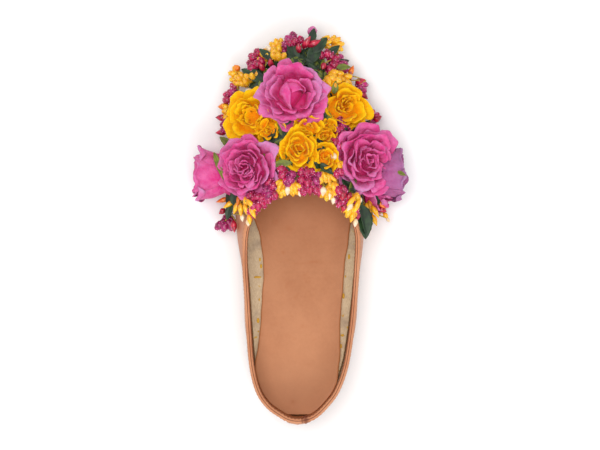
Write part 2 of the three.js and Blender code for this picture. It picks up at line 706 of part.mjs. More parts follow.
// A skin over rings between two poles, which are the first and the last point
function poleSkin(points, columns) {
  const rings = (points.length - 2) / columns;
  const faces = [];
  for (let i = 0; i < columns; i += 1) {
    const k = (i + 1) % columns;
    faces.push([0, 1 + k, 1 + i]);
    for (let j = 0; j + 1 < rings; j += 1) {
      const low = 1 + j * columns;
      const high = low + columns;
      faces.push([low + i, low + k, high + k], [low + i, high + k, high + i]);
    }
    const last = 1 + (rings - 1) * columns;
    faces.push([last + i, last + k, points.length - 1]);
  }
  return solidGeometry(points, faces);
}

// A bud: two cones foot to foot, from a foot point along a direction
function budSolid(foot, direction, length, width) {
  const profile = [[0, 0], [width / 2, length * 0.55], [0, length]].map(([r, h]) => new THREE.Vector2(r, h));
  const bud = new THREE.LatheGeometry(profile, BUD_SIDES);
  const turn = new THREE.Quaternion().setFromUnitVectors(new THREE.Vector3(0, 1, 0), direction);
  bud.applyMatrix4(new THREE.Matrix4().compose(foot, turn, new THREE.Vector3(1, 1, 1)));
  return manifoldOf(bud);
}

// A spray: a low cushion of stems with a ring of buds leaning out and one upright
function spraySolid(row, grow) {
  const frame = seatFrame(row, row.lift * SPRAY_HEIGHT);
  frame.origin.x = row.across * HALF_BALL;
  frame.origin.y = row.at * SHOE_LENGTH;
  const halfWide = (row.wide * BUD_LENGTH) / 2;
  const halfLong = (row.long * BUD_LENGTH) / 2;
  const cushionRows = [[0.75, -0.2], [0.6, 0.5]];
  const points = [place(frame, 0, 0, -0.8 * SPRAY_HEIGHT - grow)];
  for (const [out, up] of cushionRows) {
    for (let i = 0; i < BUD_SIDES; i += 1) {
      const angle = (2 * Math.PI * i) / BUD_SIDES;
      const side = (halfLong * out + grow) * Math.sin(angle);
      points.push(place(frame, (halfWide * out + grow) * Math.cos(angle), side, up * SPRAY_HEIGHT + grow));
    }
  }
  points.push(place(frame, 0, 0, 0.7 * SPRAY_HEIGHT + grow));
  let solid = manifoldOf(poleSkin(points, BUD_SIDES));
  for (let i = 0; i <= row.buds; i += 1) {
    const upright = i === row.buds;
    const angle = (2 * Math.PI * i) / row.buds + row.turn;
    const spread = upright ? 0 : 0.55;
    const foot = place(frame, halfWide * spread * Math.cos(angle), halfLong * spread * Math.sin(angle), 0);
    const lean = upright ? 0 : 0.9;
    const direction = frame.axis.clone().addScaledVector(frame.across, lean * Math.cos(angle))
      .addScaledVector(frame.along, lean * Math.sin(angle)).normalize();
    foot.addScaledVector(direction, -grow);
    solid = solid.add(budSolid(foot, direction, BUD_LENGTH + 2 * grow, BUD_WIDTH + 2 * grow));
  }
  const stemStart = frame.seat.point.clone().addScaledVector(frame.seat.normal, -WALL);
  const stem = frame.origin.clone().sub(stemStart);
  if (stem.length() > SPRAY_HEIGHT / 2) {
    const width = STEM_WIDTH + 2 * grow;
    solid = solid.add(budSolid(stemStart, stem.clone().normalize(), stem.length() * 1.6, width));
  }
  return solid;
}

// A leaf: a flattened bud that lies along the face and lifts at its tip
function leafSolid(row, grow) {
  const frame = seatFrame(row, 0);
  const heading = THREE.MathUtils.degToRad(row.heading);
  const flat = new THREE.Vector3(Math.sin(heading), Math.cos(heading), 0);
  const along = flat.addScaledVector(frame.axis, -flat.dot(frame.axis)).normalize();
  along.addScaledVector(frame.axis, LEAF_LIFT).normalize();
  const across = new THREE.Vector3().crossVectors(along, frame.axis).normalize();
  const up = new THREE.Vector3().crossVectors(across, along);
  const length = row.long * LEAF_LENGTH + 2 * grow;
  const half = LEAF_WIDTH / 2 + grow;
  const edge = LEAF_EDGE.map(([out, share]) => new THREE.Vector2(out * half, share * length));
  const leaf = new THREE.LatheGeometry(edge, BUD_SIDES);
  const thick = up.clone().multiplyScalar((LEAF_THICKNESS / 2 + grow) / half);
  const basis = new THREE.Matrix4().makeBasis(across, along, thick);
  const middle = frame.seat.point.clone().addScaledVector(along, -length / 2);
  basis.setPosition(middle.addScaledVector(frame.axis, LEAF_THICKNESS / 2));
  leaf.applyMatrix4(basis);
  return manifoldOf(leaf);
}

// Each piece of trimming is cut back from the upper, the binding and the pieces
// before it; what lies furthest in front is listed first
function buildTrimming() {
  const taken = [upperEnvelope(), bindingEnvelope()];
  const seatPiece = (name, solidAt, paint) => {
    let solid = solidAt(0);
    for (const other of taken) solid = solid.subtract(other);
    const bodies = solid.decompose().sort((a, b) => b.volume() - a.volume());
    addPiece(name, geometryOf(bodies[0]), paint);
    taken.push(solidAt(GAP));
  };
  for (const row of ROSES) seatPiece(row.name, (grow) => bloomSolid(row, ROSE_SIZES, grow), PAINT.rose);
  for (const row of SMALL_ROSES) {
    seatPiece(row.name, (grow) => bloomSolid(row, SMALL_ROSE_SIZES, grow), PAINT.yellow);
  }
  for (const row of LEAVES) seatPiece(row.name, (grow) => leafSolid(row, grow), PAINT.leaf);
  for (const row of SPRAYS) seatPiece(row.name, (grow) => spraySolid(row, grow), PAINT[row.colour]);
}

buildOutsole();
buildHeel();
buildInsole();
buildSock();
buildUpper();
buildBackStrip();
buildTrimming();

shoe.position.y = -HEEL_REST_FROM_BACK;

export default shoe;
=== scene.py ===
# Looks of a right-foot mojari shoe: leather, stitching, fabric roses, leaves and
# sprays of buds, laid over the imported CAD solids. Lengths are millimetres of the
# shoe, measured from the back of the heel, until a mesh is made.

import math

import bpy
import numpy as np
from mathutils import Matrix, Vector, kdtree


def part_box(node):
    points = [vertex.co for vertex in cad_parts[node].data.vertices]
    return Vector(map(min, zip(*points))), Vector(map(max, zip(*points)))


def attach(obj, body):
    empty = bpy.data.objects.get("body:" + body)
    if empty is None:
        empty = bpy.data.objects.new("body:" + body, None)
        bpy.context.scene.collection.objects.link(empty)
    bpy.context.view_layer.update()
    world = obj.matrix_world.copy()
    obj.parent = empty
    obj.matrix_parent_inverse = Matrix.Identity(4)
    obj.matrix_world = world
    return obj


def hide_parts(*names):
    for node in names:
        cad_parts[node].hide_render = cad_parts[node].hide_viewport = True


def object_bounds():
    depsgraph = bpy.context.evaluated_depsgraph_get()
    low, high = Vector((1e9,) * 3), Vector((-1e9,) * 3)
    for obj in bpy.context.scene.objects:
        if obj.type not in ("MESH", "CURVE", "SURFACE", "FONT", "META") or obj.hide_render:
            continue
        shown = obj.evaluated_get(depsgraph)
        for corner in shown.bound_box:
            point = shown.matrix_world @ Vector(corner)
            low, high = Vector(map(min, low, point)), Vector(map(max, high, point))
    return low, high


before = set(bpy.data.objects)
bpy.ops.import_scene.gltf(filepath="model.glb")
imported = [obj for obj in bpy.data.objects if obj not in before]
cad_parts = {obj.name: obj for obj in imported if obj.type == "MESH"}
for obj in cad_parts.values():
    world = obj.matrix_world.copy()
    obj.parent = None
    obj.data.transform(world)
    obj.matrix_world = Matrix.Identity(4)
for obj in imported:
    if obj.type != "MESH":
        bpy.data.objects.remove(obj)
CAD_LOW, CAD_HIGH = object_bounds()

# Driving dimensions, as in the CAD source
SHOE_LENGTH = 250.0
HALF_BALL = 45.5
HEEL_RIM_HEIGHT = 52.0
QUARTER_RIM_HEIGHT = 41.0
THROAT_HEIGHT = 55.0
SOLE_THICKNESS = 4.0
HEEL_HEIGHT = 7.0
HEEL_LENGTH = 60.0
BREAST_HOLLOW = 4.0
TOE_SPRING = 7.0
HEEL_REST_FROM_BACK = 33.0
WALL = 2.0
SKIVED_WALL = 1.0
FEATHER_TUCK = 1.8
WALL_BULGE = 0.9
BINDING_DEPTH = 3.6
BACK_STRIP_WIDTH = 15.0
BACK_STRIP_LENGTH = 46.0
BACK_STRIP_THICKNESS = 1.0
INSOLE_THICKNESS = 2.2
SOCK_THICKNESS = 1.2
GAP = 0.3
TREAD_FROM = 0.56
TREAD_TO = 0.768
TOE_CURVE = 1.7
ROSE_DIAMETER = 46.0
ROSE_HEIGHT = 21.0
SMALL_ROSE_DIAMETER = 34.0
SMALL_ROSE_HEIGHT = 15.0
LEAF_LENGTH = 22.0
LEAF_WIDTH = 12.0

# How finely the leather and its rolled edge are divided
STATIONS = 340
WALL_ROWS = 30
BINDING_STATIONS = 900

# Ribs of the last, heel to toe, as in the CAD source: at, medial, lateral, topAt,
# topMedial, topLateral, heelClimb, throatClimb, rise, lead, drop
RIBS = np.array([
    [0.0, 0.033, -0.033, 0.0064, 0.033, -0.033, 1.0, 0.0, 0.36, 0.9, 0.4],
    [0.0034, 0.158, 0.105, 0.0094, 0.148, 0.094, 0.99, 0.0, 0.36, 0.9, 0.4],
    [0.015, 0.29, 0.25, 0.0204, 0.272, 0.23, 0.96, 0.0, 0.36, 0.9, 0.4],
    [0.042, 0.5, 0.415, 0.046, 0.465, 0.38, 0.86, 0.0, 0.36, 0.9, 0.4],
    [0.084, 0.654, 0.582, 0.086, 0.614, 0.545, 0.66, 0.0, 0.37, 0.9, 0.4],
    [0.152, 0.747, 0.716, 0.152, 0.708, 0.677, 0.36, 0.0, 0.38, 0.9, 0.4],
    [0.244, 0.796, 0.804, 0.244, 0.752, 0.76, 0.1, 0.0, 0.38, 0.9, 0.4],
    [0.34, 0.831, 0.864, 0.336, 0.782, 0.809, 0.0, 0.0, 0.38, 0.88, 0.4],
    [0.432, 0.879, 0.914, 0.424, 0.809, 0.84, 0.0, 0.05, 0.38, 0.84, 0.39],
    [0.512, 0.945, 0.952, 0.488, 0.804, 0.853, 0.0, 0.16, 0.38, 0.74, 0.37],
    [0.6, 0.996, 0.993, 0.526, 0.768, 0.818, 0.0, 0.3, 0.39, 0.62, 0.34],
    [0.688, 1.002, 0.978, 0.555, 0.676, 0.732, 0.0, 0.48, 0.41, 0.54, 0.31],
    [0.776, 0.956, 0.901, 0.579, 0.556, 0.608, 0.0, 0.65, 0.43, 0.5, 0.29],
    [0.856, 0.835, 0.758, 0.5975, 0.424, 0.468, 0.0, 0.8, 0.46, 0.5, 0.28],
    [0.924, 0.643, 0.56, 0.6105, 0.291, 0.324, 0.0, 0.9, 0.49, 0.5, 0.28],
    [0.969, 0.416, 0.33, 0.6175, 0.176, 0.196, 0.0, 0.96, 0.51, 0.5, 0.28],
    [0.992, 0.235, 0.124, 0.6195, 0.084, 0.092, 0.0, 0.99, 0.52, 0.5, 0.28],
    [1.0, 0.066, -0.066, 0.62, -0.004, 0.004, 0.0, 1.0, 0.52, 0.5, 0.28],
])

# The sock lining: share of SHOE_LENGTH, then medial and lateral half widths as
# shares of HALF_BALL
SOCK_ROWS = np.array([
    [0.033, 0.24, 0.13], [0.05, 0.36, 0.25], [0.09, 0.52, 0.43], [0.152, 0.63, 0.58],
    [0.244, 0.595, 0.595], [0.316, 0.565, 0.615], [0.384, 0.542, 0.65], [0.432, 0.55, 0.672],
    [0.476, 0.572, 0.712], [0.52, 0.625, 0.74], [0.6, 0.81, 0.825], [0.688, 0.88, 0.855],
    [0.79, 0.82, 0.755], [0.87, 0.68, 0.58], [0.925, 0.42, 0.32], [0.955, 0.18, 0.07],
])

UP = np.array([0.0, 0.0, 1.0])


# Small vector tools

def unit(vectors):
    vectors = np.asarray(vectors, float)
    length = np.linalg.norm(vectors, axis=-1, keepdims=True)
    return vectors / np.maximum(length, 1e-12)


def lerp(a, b, share):
    return a + (b - a) * share


def smooth(low, high, value):
    share = np.clip((value - low) / (high - low), 0.0, 1.0)
    return share * share * (3 - 2 * share)


def bell(distance, width):
    """1 at a distance of nothing, falling away within about width."""
    return np.exp(-(distance / width) ** 2)


def catmull(p0, p1, p2, p3, part):
    square = part * part
    cube = square * part
    return 0.5 * (2 * p1 + (p2 - p0) * part + (2 * p0 - 5 * p1 + 4 * p2 - p3) * square
                  + (3 * p1 - p0 - 3 * p2 + p3) * cube)


def spline(controls, position):
    """Catmull-Rom through rows of controls; position counts in rows."""
    last = len(controls) - 1
    low = np.clip(np.floor(position).astype(int), 0, last - 1)
    part = (position - low)[..., None]
    p1 = controls[low]
    p2 = controls[low + 1]
    p0 = np.where((low > 0)[..., None], controls[np.maximum(low - 1, 0)], 2 * p1 - p2)
    p3 = np.where((low + 2 <= last)[..., None], controls[np.minimum(low + 2, last)], 2 * p2 - p1)
    return catmull(p0, p1, p2, p3, part)


def closed_spline(controls, share):
    """A closed Catmull-Rom curve at shares of its round."""
    size = len(controls)
    position = (np.asarray(share, float) % 1.0) * size
    low = np.floor(position).astype(int)
    near = [controls[(low + step) % size] for step in (-1, 0, 1, 2)]
    return catmull(*near, (position - low)[..., None])


def toward(heading, rise=0.0):
    """A direction by its heading, clockwise from the toe, and its rise from level, in degrees."""
    angle = math.radians(heading)
    tilt = math.radians(rise)
    return np.array([math.sin(angle) * math.cos(tilt), math.cos(angle) * math.cos(tilt), math.sin(tilt)])


def laid(way, axis, tilt=0.0):
    """A direction laid flat across an axis, then tilted towards it."""
    return unit(way - axis * way.dot(axis) + axis * tilt)


def grid(rows, columns, low=-1.0):
    """Shares 0 to 1 along the rows and low to 1 along the columns of a sheet."""
    return np.meshgrid(np.linspace(0, 1, rows), np.linspace(low, 1, columns), indexing="ij")


def round_grid(rows, columns):
    """Shares 0 to 1 along the rows and angles round the columns of a closed skin."""
    return np.meshgrid(np.linspace(0, 1, rows), 2 * np.pi * np.arange(columns) / columns, indexing="ij")


def round_shares(count):
    return np.arange(count) / count


# The last

def loop_of(medial, lateral):
    return np.concatenate([medial, lateral[1:-1][::-1]])


def side_points(at, out, height, sign):
    return np.stack([sign * out * HALF_BALL, at * SHOE_LENGTH, height], axis=1)


def rib_loop(at, medial, lateral, height):
    """A loop round the last, out along the medial side and back along the lateral one."""
    return loop_of(side_points(at, medial, height, -1), side_points(at, lateral, height, 1))


RIM_HEIGHTS = (QUARTER_RIM_HEIGHT + RIBS[:, 6] * (HEEL_RIM_HEIGHT - QUARTER_RIM_HEIGHT)
               + RIBS[:, 7] * (THROAT_HEIGHT - QUARTER_RIM_HEIGHT))
WIDEST = rib_loop(RIBS[:, 0], RIBS[:, 1], RIBS[:, 2], np.zeros(len(RIBS)))
TOPLINE = rib_loop(RIBS[:, 3], RIBS[:, 4], RIBS[:, 5], RIM_HEIGHTS)
SHAPES = loop_of(RIBS[:, 8:11], RIBS[:, 8:11])


def widest(u):
    return closed_spline(WIDEST, u)


def outward_at(u):
    along = widest(u + 0.002) - widest(u - 0.002)
    return unit(np.stack([-along[..., 1], along[..., 0], np.zeros_like(along[..., 0])], axis=-1))


def sole_bottom(y):
    arch = HEEL_HEIGHT * (1 - smooth(HEEL_LENGTH, TREAD_FROM * SHOE_LENGTH, y))
    past = np.maximum(0.0, (y / SHOE_LENGTH - TREAD_TO) / (1 - TREAD_TO))
    return arch + TOE_SPRING * past ** TOE_CURVE


def insole_base(y):
    return sole_bottom(y) + SOLE_THICKNESS + GAP


def rib_controls(u):
    """The four controls of the outer face's rib: foot, stand, crown and rim."""
    edge = widest(u)
    outward = outward_at(u)
    foot = edge - outward * FEATHER_TUCK
    foot[..., 2] = insole_base(foot[..., 1])
    rim = closed_spline(TOPLINE, u)
    shape = closed_spline(SHAPES, u)
    climb = rim[..., 2] - foot[..., 2]
    stand = edge + outward * WALL_BULGE
    stand[..., 2] = foot[..., 2] + shape[..., 0] * climb
    crown = lerp(rim, edge, shape[..., 1:2])
    crown[..., 2] = rim[..., 2] - shape[..., 2] * climb
    return foot, stand, crown, rim


def face_point(u, share):
    """The upper's outer face, round by u and up by share."""
    share = np.asarray(share, float)[..., None]
    foot, stand, crown, rim = rib_controls(np.asarray(u, float))
    rest = 1 - share
    return (rest ** 3 * foot + 3 * rest ** 2 * share * stand
            + 3 * rest * share ** 2 * crown + share ** 3 * rim)


def face_normal(u, share):
    step = 0.004
    share = np.clip(share, 0.01, 0.99)
    upward = face_point(u, share + 0.005) - face_point(u, share - 0.005)
    along = face_point(u + step, share) - face_point(u - step, share)
    return unit(np.cross(upward, along))


def rim_frame(u):
    _, _, crown, rim = rib_controls(u)
    return rim, unit(crown - rim), face_normal(u, np.full_like(u, 0.99))


# Meshes

def to_frame(points):
    """Millimetres of the shoe sent to the frame's metres."""
    moved = np.array(points, float)
    moved[:, 1] -= HEEL_REST_FROM_BACK
    return moved / 1000.0


class Shape:
    """Points, faces, values per point and a material number per face, gathered from parts."""

    def __init__(self):
        self.points = []
        self.faces = []
        self.finish = []
        self.values = {}
        self.size = 0

    def add(self, points, faces, finish=0, **values):
        """Adds points with their values, and faces that count from the first of them."""
        points = np.asarray(points, float).reshape(-1, 3)
        for name in set(self.values) | set(values):
            kept = self.values.setdefault(name, [np.zeros(self.size)])
            kept.append(np.broadcast_to(np.asarray(values.get(name, 0.0), float).reshape(-1), len(points)))
        self.points.append(points)
        self.add_faces([tuple(int(corner) + self.size for corner in face) for face in faces], finish)
        self.size += len(points)

    def add_faces(self, faces, finish=0):
        self.faces.extend(faces)
        self.finish.extend([finish] * len(faces))

    def join(self, first, second, finish=0):
        """Quads between two rings of point numbers."""
        after = [*range(1, len(first)), 0]
        self.add_faces([(first[i], first[k], second[k], second[i]) for i, k in enumerate(after)], finish)


def make_piece(name, shape, materials, nodes=(), thickness=None):
    """One object of the shoe from a shape, riding on the root body."""
    mesh = bpy.data.meshes.new(name)
    mesh.from_pydata(to_frame(np.concatenate(shape.points)).tolist(), [], shape.faces)
    for material in materials:
        mesh.materials.append(material)
    mesh.polygons.foreach_set("material_index", shape.finish)
    mesh.polygons.foreach_set("use_smooth", [True] * len(mesh.polygons))
    for label, parts in shape.values.items():
        layer = mesh.attributes.new(label, "FLOAT", "POINT")
        layer.data.foreach_set("value", np.concatenate(parts))
    mesh.update()
    piece = bpy.data.objects.new(name, mesh)
    bpy.context.scene.collection.objects.link(piece)
    if thickness:
        sheet = piece.modifiers.new("thickness", "SOLIDIFY")
        sheet.thickness = thickness / 1000.0
        sheet.offset = 0.0
    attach(piece, "root")
    if nodes:
        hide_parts(*nodes)
    return piece


def grid_faces(rows, columns, wrap_rows=False, wrap_columns=False):
    """Quads over a grid of points stored row by row."""
    faces = []
    for i in range(rows if wrap_rows else rows - 1):
        for j in range(columns if wrap_columns else columns - 1):
            k = (i + 1) % rows
            m = (j + 1) % columns
            faces.append((i * columns + j, k * columns + j, k * columns + m, i * columns + m))
    return faces


def flipped(faces):
    return [face[::-1] for face in faces]


def grid_border(rows, columns):
    """The point numbers round the edge of a grid, in order."""
    numbers = np.arange(rows * columns).reshape(rows, columns)
    sides = (numbers[0], numbers[1:, -1], numbers[-1, -2::-1], numbers[-2:0:-1, 0])
    return np.concatenate(sides).tolist()


def ladder_faces(start, size, flip):
    """A face across a ring whose two halves mirror each other along the shoe."""
    faces = []
    for i in range(size // 2):
        corners = [start + i, start + (size - i) % size, start + size - i - 1, start + i + 1]
        kept = list(dict.fromkeys(corners))
        if len(kept) > 2:
            faces.append(tuple(reversed(kept)) if flip else tuple(kept))
    return faces


def add_ends(shape, rings):
    """Faces across the first and the last of some rings round the shoe."""
    shape.add_faces(ladder_faces(0, STATIONS, True) + ladder_faces((rings - 1) * STATIONS, STATIONS, False))


# Materials

def colour(screen):
    """A screen colour, 0 to 255, as the linear colour that a shader takes."""
    shares = np.array(screen) / 255.0
    linear = np.where(shares <= 0.04045, shares / 12.92, ((shares + 0.055) / 1.055) ** 2.4)
    return (*[float(part) for part in linear], 1.0)


class Finish:
    """A material in the making: each method adds a node and gives back its socket."""

    def __init__(self, name):
        self.material = bpy.data.materials.new(name)
        self.material.use_nodes = True
        self.tree = self.material.node_tree
        self.shader = self.tree.nodes["Principled BSDF"]

    def fill(self, node, inputs):
        """Sets inputs of a node, each to a plain value or from a socket."""
        for name, source in inputs.items():
            if isinstance(source, bpy.types.NodeSocket):
                self.tree.links.new(source, node.inputs[name])
            else:
                node.inputs[name].default_value = source

    def node(self, kind, inputs, output=0, **settings):
        node = self.tree.nodes.new(kind)
        for name, setting in settings.items():
            setattr(node, name, setting)
        self.fill(node, inputs)
        return node.outputs[output]

    def place(self, stretch):
        """Object coordinates, stretched along an axis if asked."""
        source = self.node("ShaderNodeTexCoord", {}, "Object")
        return self.node("ShaderNodeMapping", {"Vector": source, "Scale": stretch}) if stretch else source

    def noise(self, size, detail=4.0, roughness=0.55, stretch=None):
        """Noise whose features are about size millimetres across."""
        inputs = {"Scale": 1000.0 / size, "Detail": detail, "Roughness": roughness}
        return self.node("ShaderNodeTexNoise", {**inputs, "Vector": self.place(stretch)}, "Fac")

    def cells(self, size):
        inputs = {"Scale": 1000.0 / size, "Vector": self.place(None)}
        return self.node("ShaderNodeTexVoronoi", inputs, "Distance")

    def value(self, name):
        return self.node("ShaderNodeAttribute", {}, "Fac", attribute_name=name)

    def between(self, value, low, high):
        """Value sent from low..high to 0..1, clamped."""
        return self.node("ShaderNodeMapRange", {"From Min": low, "From Max": high, "Value": value}, "Result")

    def spread(self, value, low, high):
        """Value sent from 0..1 to low..high."""
        return self.node("ShaderNodeMapRange", {"To Min": low, "To Max": high, "Value": value}, "Result")

    def product(self, first, second):
        return self.node("ShaderNodeMath", {0: first, 1: second}, operation="MULTIPLY")

    def sum(self, first, second, first_weight, second_weight):
        scaled = self.product(first, first_weight)
        return self.node("ShaderNodeMath", {0: second, 1: second_weight, 2: scaled}, operation="MULTIPLY_ADD")

    def blend(self, amount, first, second):
        """Mixes two colours by a value; each is a socket or a screen colour."""
        first, second = [colour(end) if isinstance(end, tuple) else end for end in (first, second)]
        return self.node("ShaderNodeMix", {0: amount, 6: first, 7: second}, 2, data_type="RGBA")

    def bump(self, height, distance):
        """A raised surface, of a height in millimetres."""
        return self.node("ShaderNodeBump", {"Strength": 1.0, "Distance": distance / 1000.0, "Height": height})

    def done(self, base, bump, roughness, **inputs):
        """Sets the shader; further inputs are named with underscores for spaces."""
        self.fill(self.shader, {"Base Color": base, "Normal": bump, "Roughness": roughness})
        self.fill(self.shader, {name.replace("_", " "): value for name, value in inputs.items()})
        return self.material


def leather_material(name, light, dark, stain_and_shade, grain=0.05, rough=(0.42, 0.62), worn=None):
    """Smooth tanned leather with pores and fine wrinkles, dark by the value mark, which holds real stains
    and, on the rolled edge, painted shade; a lighter colour, where given, is painted light laid on by a
    second value.
    """
    finish = Finish(name)
    fine = finish.noise(2.2, 5.0)
    tone = finish.between(finish.sum(finish.noise(22.0, 3.0), fine, 0.7, 0.3), 0.36, 0.64)
    base = finish.blend(tone, dark, light)
    base = finish.blend(finish.between(finish.noise(7.0, 5.0), 0.60, 1.5), base, stain_and_shade)
    # Painted light: a lighter colour laid over where the value asks, on the sock's heel.
    if worn:
        base = finish.blend(finish.value("worn"), base, worn)
    pores = finish.sum(finish.cells(0.8), finish.noise(1.6, 6.0, 0.6), 0.35, 0.9)
    return finish.done(finish.blend(finish.value("mark"), base, stain_and_shade), finish.bump(pores, grain),
                       finish.spread(fine, *rough), Specular_IOR_Level=0.35)


def thread_material(name, pale, dark):
    finish = Finish(name)
    twist = finish.noise(0.5, 3.0)
    base = finish.blend(finish.between(twist, 0.35, 0.65), dark, pale)
    return finish.done(base, finish.bump(twist, 0.06), 0.7)


def board_material(name):
    """Cream insole board and lining cloth: a soft felt with fibres and glue marks."""
    finish = Finish(name)
    fibre = finish.noise(1.2, 6.0, 0.7, (3.0, 0.6, 1.0))
    base = finish.blend(finish.between(fibre, 0.35, 0.65), (194, 166, 132), (222, 202, 170))
    base = finish.blend(finish.between(finish.noise(9.0, 3.0), 0.5, 0.8), base, (170, 148, 126))
    glue = finish.between(finish.noise(4.0, 4.0), 0.64, 0.70)
    base = finish.blend(finish.product(glue, finish.value("mark")), base, (205, 160, 60))
    return finish.done(base, finish.bump(fibre, 0.12), 0.85)


def edge_material(name, light, dark):
    """Burnished sole edge: fine lines along the layers, darker where it was rubbed with wax."""
    finish = Finish(name)
    layers = finish.noise(1.6, 5.0, stretch=(0.25, 0.25, 4.0))
    cloud = finish.noise(14.0, 3.0)
    tone = finish.between(finish.sum(layers, cloud, 0.55, 0.45), 0.36, 0.64)
    base = finish.blend(tone, dark, light)
    return finish.done(base, finish.bump(layers, 0.12), finish.spread(cloud, 0.4, 0.62))


def petal_material(name, rim, face, painted_shade_colour, pale, crumple):
    """Cloth of a petal: its face colour mottled with a brighter one, paler on pale petals and in patches near
    the rim, and painted shade in the deep colour at its foot and in its creases.
    """
    finish = Finish(name)
    base = finish.blend(finish.between(finish.noise(6.0, 4.0), 0.38, 0.62), face, rim)
    patch = finish.between(finish.noise(7.0, 4.0), 0.48, 0.62)
    washed = finish.sum(finish.value("tone"), finish.product(patch, finish.value("rim")), 0.80, 0.60)
    base = finish.blend(washed, base, pale)
    painted_shade_and_mottle = finish.sum(finish.value("fold"), finish.noise(1.4, 5.0, 0.6), 0.9, 0.25)
    base = finish.blend(finish.between(painted_shade_and_mottle, 0.30, 1.0), base, painted_shade_colour)
    cloth = finish.sum(finish.noise(0.35, 3.0), finish.noise(3.0, 6.0, 0.65), 0.12, 2.2)
    return finish.done(base, finish.bump(cloth, crumple), 0.70, Specular_IOR_Level=0.15,
                       Sheen_Weight=0.06, Sheen_Roughness=0.4, Subsurface_Weight=0.30,
                       Subsurface_Radius=(0.003, 0.001, 0.001))


def leaf_material(name, light, dark):
    finish = Finish(name)
    base = finish.blend(finish.between(finish.noise(5.0, 4.0), 0.35, 0.65), dark, light)
    base = finish.blend(finish.value("fold"), base, dark)
    return finish.done(base, finish.bump(finish.noise(0.5, 3.0), 0.06), 0.5)


def bud_material(name, light, dark, rough=0.35, coat=0.3):
    """A lacquered bud, darker at its foot."""
    finish = Finish(name)
    base = finish.blend(finish.between(finish.noise(2.5, 4.0), 0.35, 0.65), dark, light)
    base = finish.blend(finish.value("fold"), base, dark)
    return finish.done(base, finish.bump(finish.noise(0.5, 4.0), 0.08), rough,
                       Coat_Weight=coat, Coat_Roughness=0.2)


def floor_material():
    finish = Finish("pale_floor")
    base = finish.blend(finish.noise(300.0, 2.0), (251, 251, 252), (254, 254, 254))
    finish.fill(finish.shader, {"Base Color": base, "Roughness": 0.8})
    return finish.material


LEATHER = leather_material("upper_leather", (200, 142, 108), (180, 120, 86), (146, 86, 52))
# Its stain colour is also painted shade, laid by the section of the rolled edge.
BINDING = leather_material("binding_leather", (206, 142, 102), (190, 122, 82), (104, 46, 20))
# The sock's last colour is painted light for its heel.
SOCK = leather_material("sock_leather", (190, 127, 86), (178, 114, 73), (170, 86, 28),
                        grain=0.04, rough=(0.45, 0.6), worn=(216, 152, 108))
THREAD = thread_material("tan_thread", (210, 164, 124), (170, 118, 80))
DARK_THREAD = thread_material("brown_thread", (132, 78, 44), (96, 50, 26))
BOARD = board_material("cream_board")
SOLE_EDGE = edge_material("sole_edge", (176, 122, 80), (128, 80, 48))
SOLE_FACE = leather_material("sole_leather", (200, 156, 112), (172, 126, 84), (120, 80, 50),
                             grain=0.08, rough=(0.6, 0.8))
HEEL_EDGE = edge_material("heel_edge", (142, 92, 56), (96, 58, 34))
# The third colour of each cloth is painted shade, laid deep in the blooms and in their creases.
ROSE = petal_material("rose_cloth", (228, 96, 160), (216, 56, 134), (186, 12, 88), (208, 142, 192), 0.50)
PALE_ROSE = petal_material("pale_rose_cloth", (180, 98, 150), (166, 72, 130), (156, 20, 94),
                           (176, 122, 170), 0.50)
YELLOW = petal_material("yellow_cloth", (248, 190, 2), (240, 168, 0), (232, 132, 0), (254, 208, 16), 0.40)
DARK_LEAF = leaf_material("dark_leaf", (48, 76, 42), (18, 36, 24))
OLIVE_LEAF = leaf_material("olive_leaf", (128, 140, 44), (84, 92, 28))
BUD_PAINTS = {
    "magenta": bud_material("magenta_bud", (206, 4, 84), (110, 0, 38)),
    "violet": bud_material("violet_bud", (186, 18, 112), (102, 0, 54)),
    "crimson": bud_material("crimson_bud", (212, 10, 62), (120, 2, 34), 0.28, 0.5),
    "gold": bud_material("gold_bud", (252, 204, 20), (236, 152, 4)),
    "orange": bud_material("orange_bud", (242, 142, 8), (214, 90, 4)),
    "cream": bud_material("cream_bud", (246, 232, 210), (226, 196, 150)),
    "pink": bud_material("pink_bud", (214, 112, 168), (176, 70, 130)),
}
# The pale colour of the grains is the glitter's own and partly a painted glint.
GLITTER = bud_material("glitter_grain", (255, 206, 238), (232, 30, 138), 0.2, 0.6)
GOLD_GLITTER = bud_material("gold_grain", (255, 242, 140), (244, 180, 6), 0.2, 0.6)
GLUE = thread_material("dried_glue", (222, 176, 52), (196, 140, 36))
WIRE = thread_material("stem_wire", (206, 178, 60), (140, 120, 40))


# Leather pieces

# How far round from the back the lining is a tan heel grip
HEEL_GRIP_SHARE = 0.125


def upper_waves(share, point):
    """Soft waves of unlined leather: flex troughs at the waist and puckers by the back seam."""
    y = point[..., 1]
    quarter = smooth(35.0, 70.0, y) * (1 - smooth(105.0, 150.0, y))
    slow = 0.55 * np.sin(y / 9.5 + 2.1 * share) * quarter * np.sin(np.pi * share)
    ball = bell(y - 150.0 + 22.0 * share, 7.0) + bell(y - 168.0 + 26.0 * share, 8.0)
    crease = -0.8 * ball * np.sin(np.pi * np.clip(share * 1.15, 0, 1))
    pucker = 0.25 * np.sin(y * 1.25 + 1.0) * np.exp(-y / 9.0) * smooth(0.55, 0.95, share)
    return slow + crease + pucker


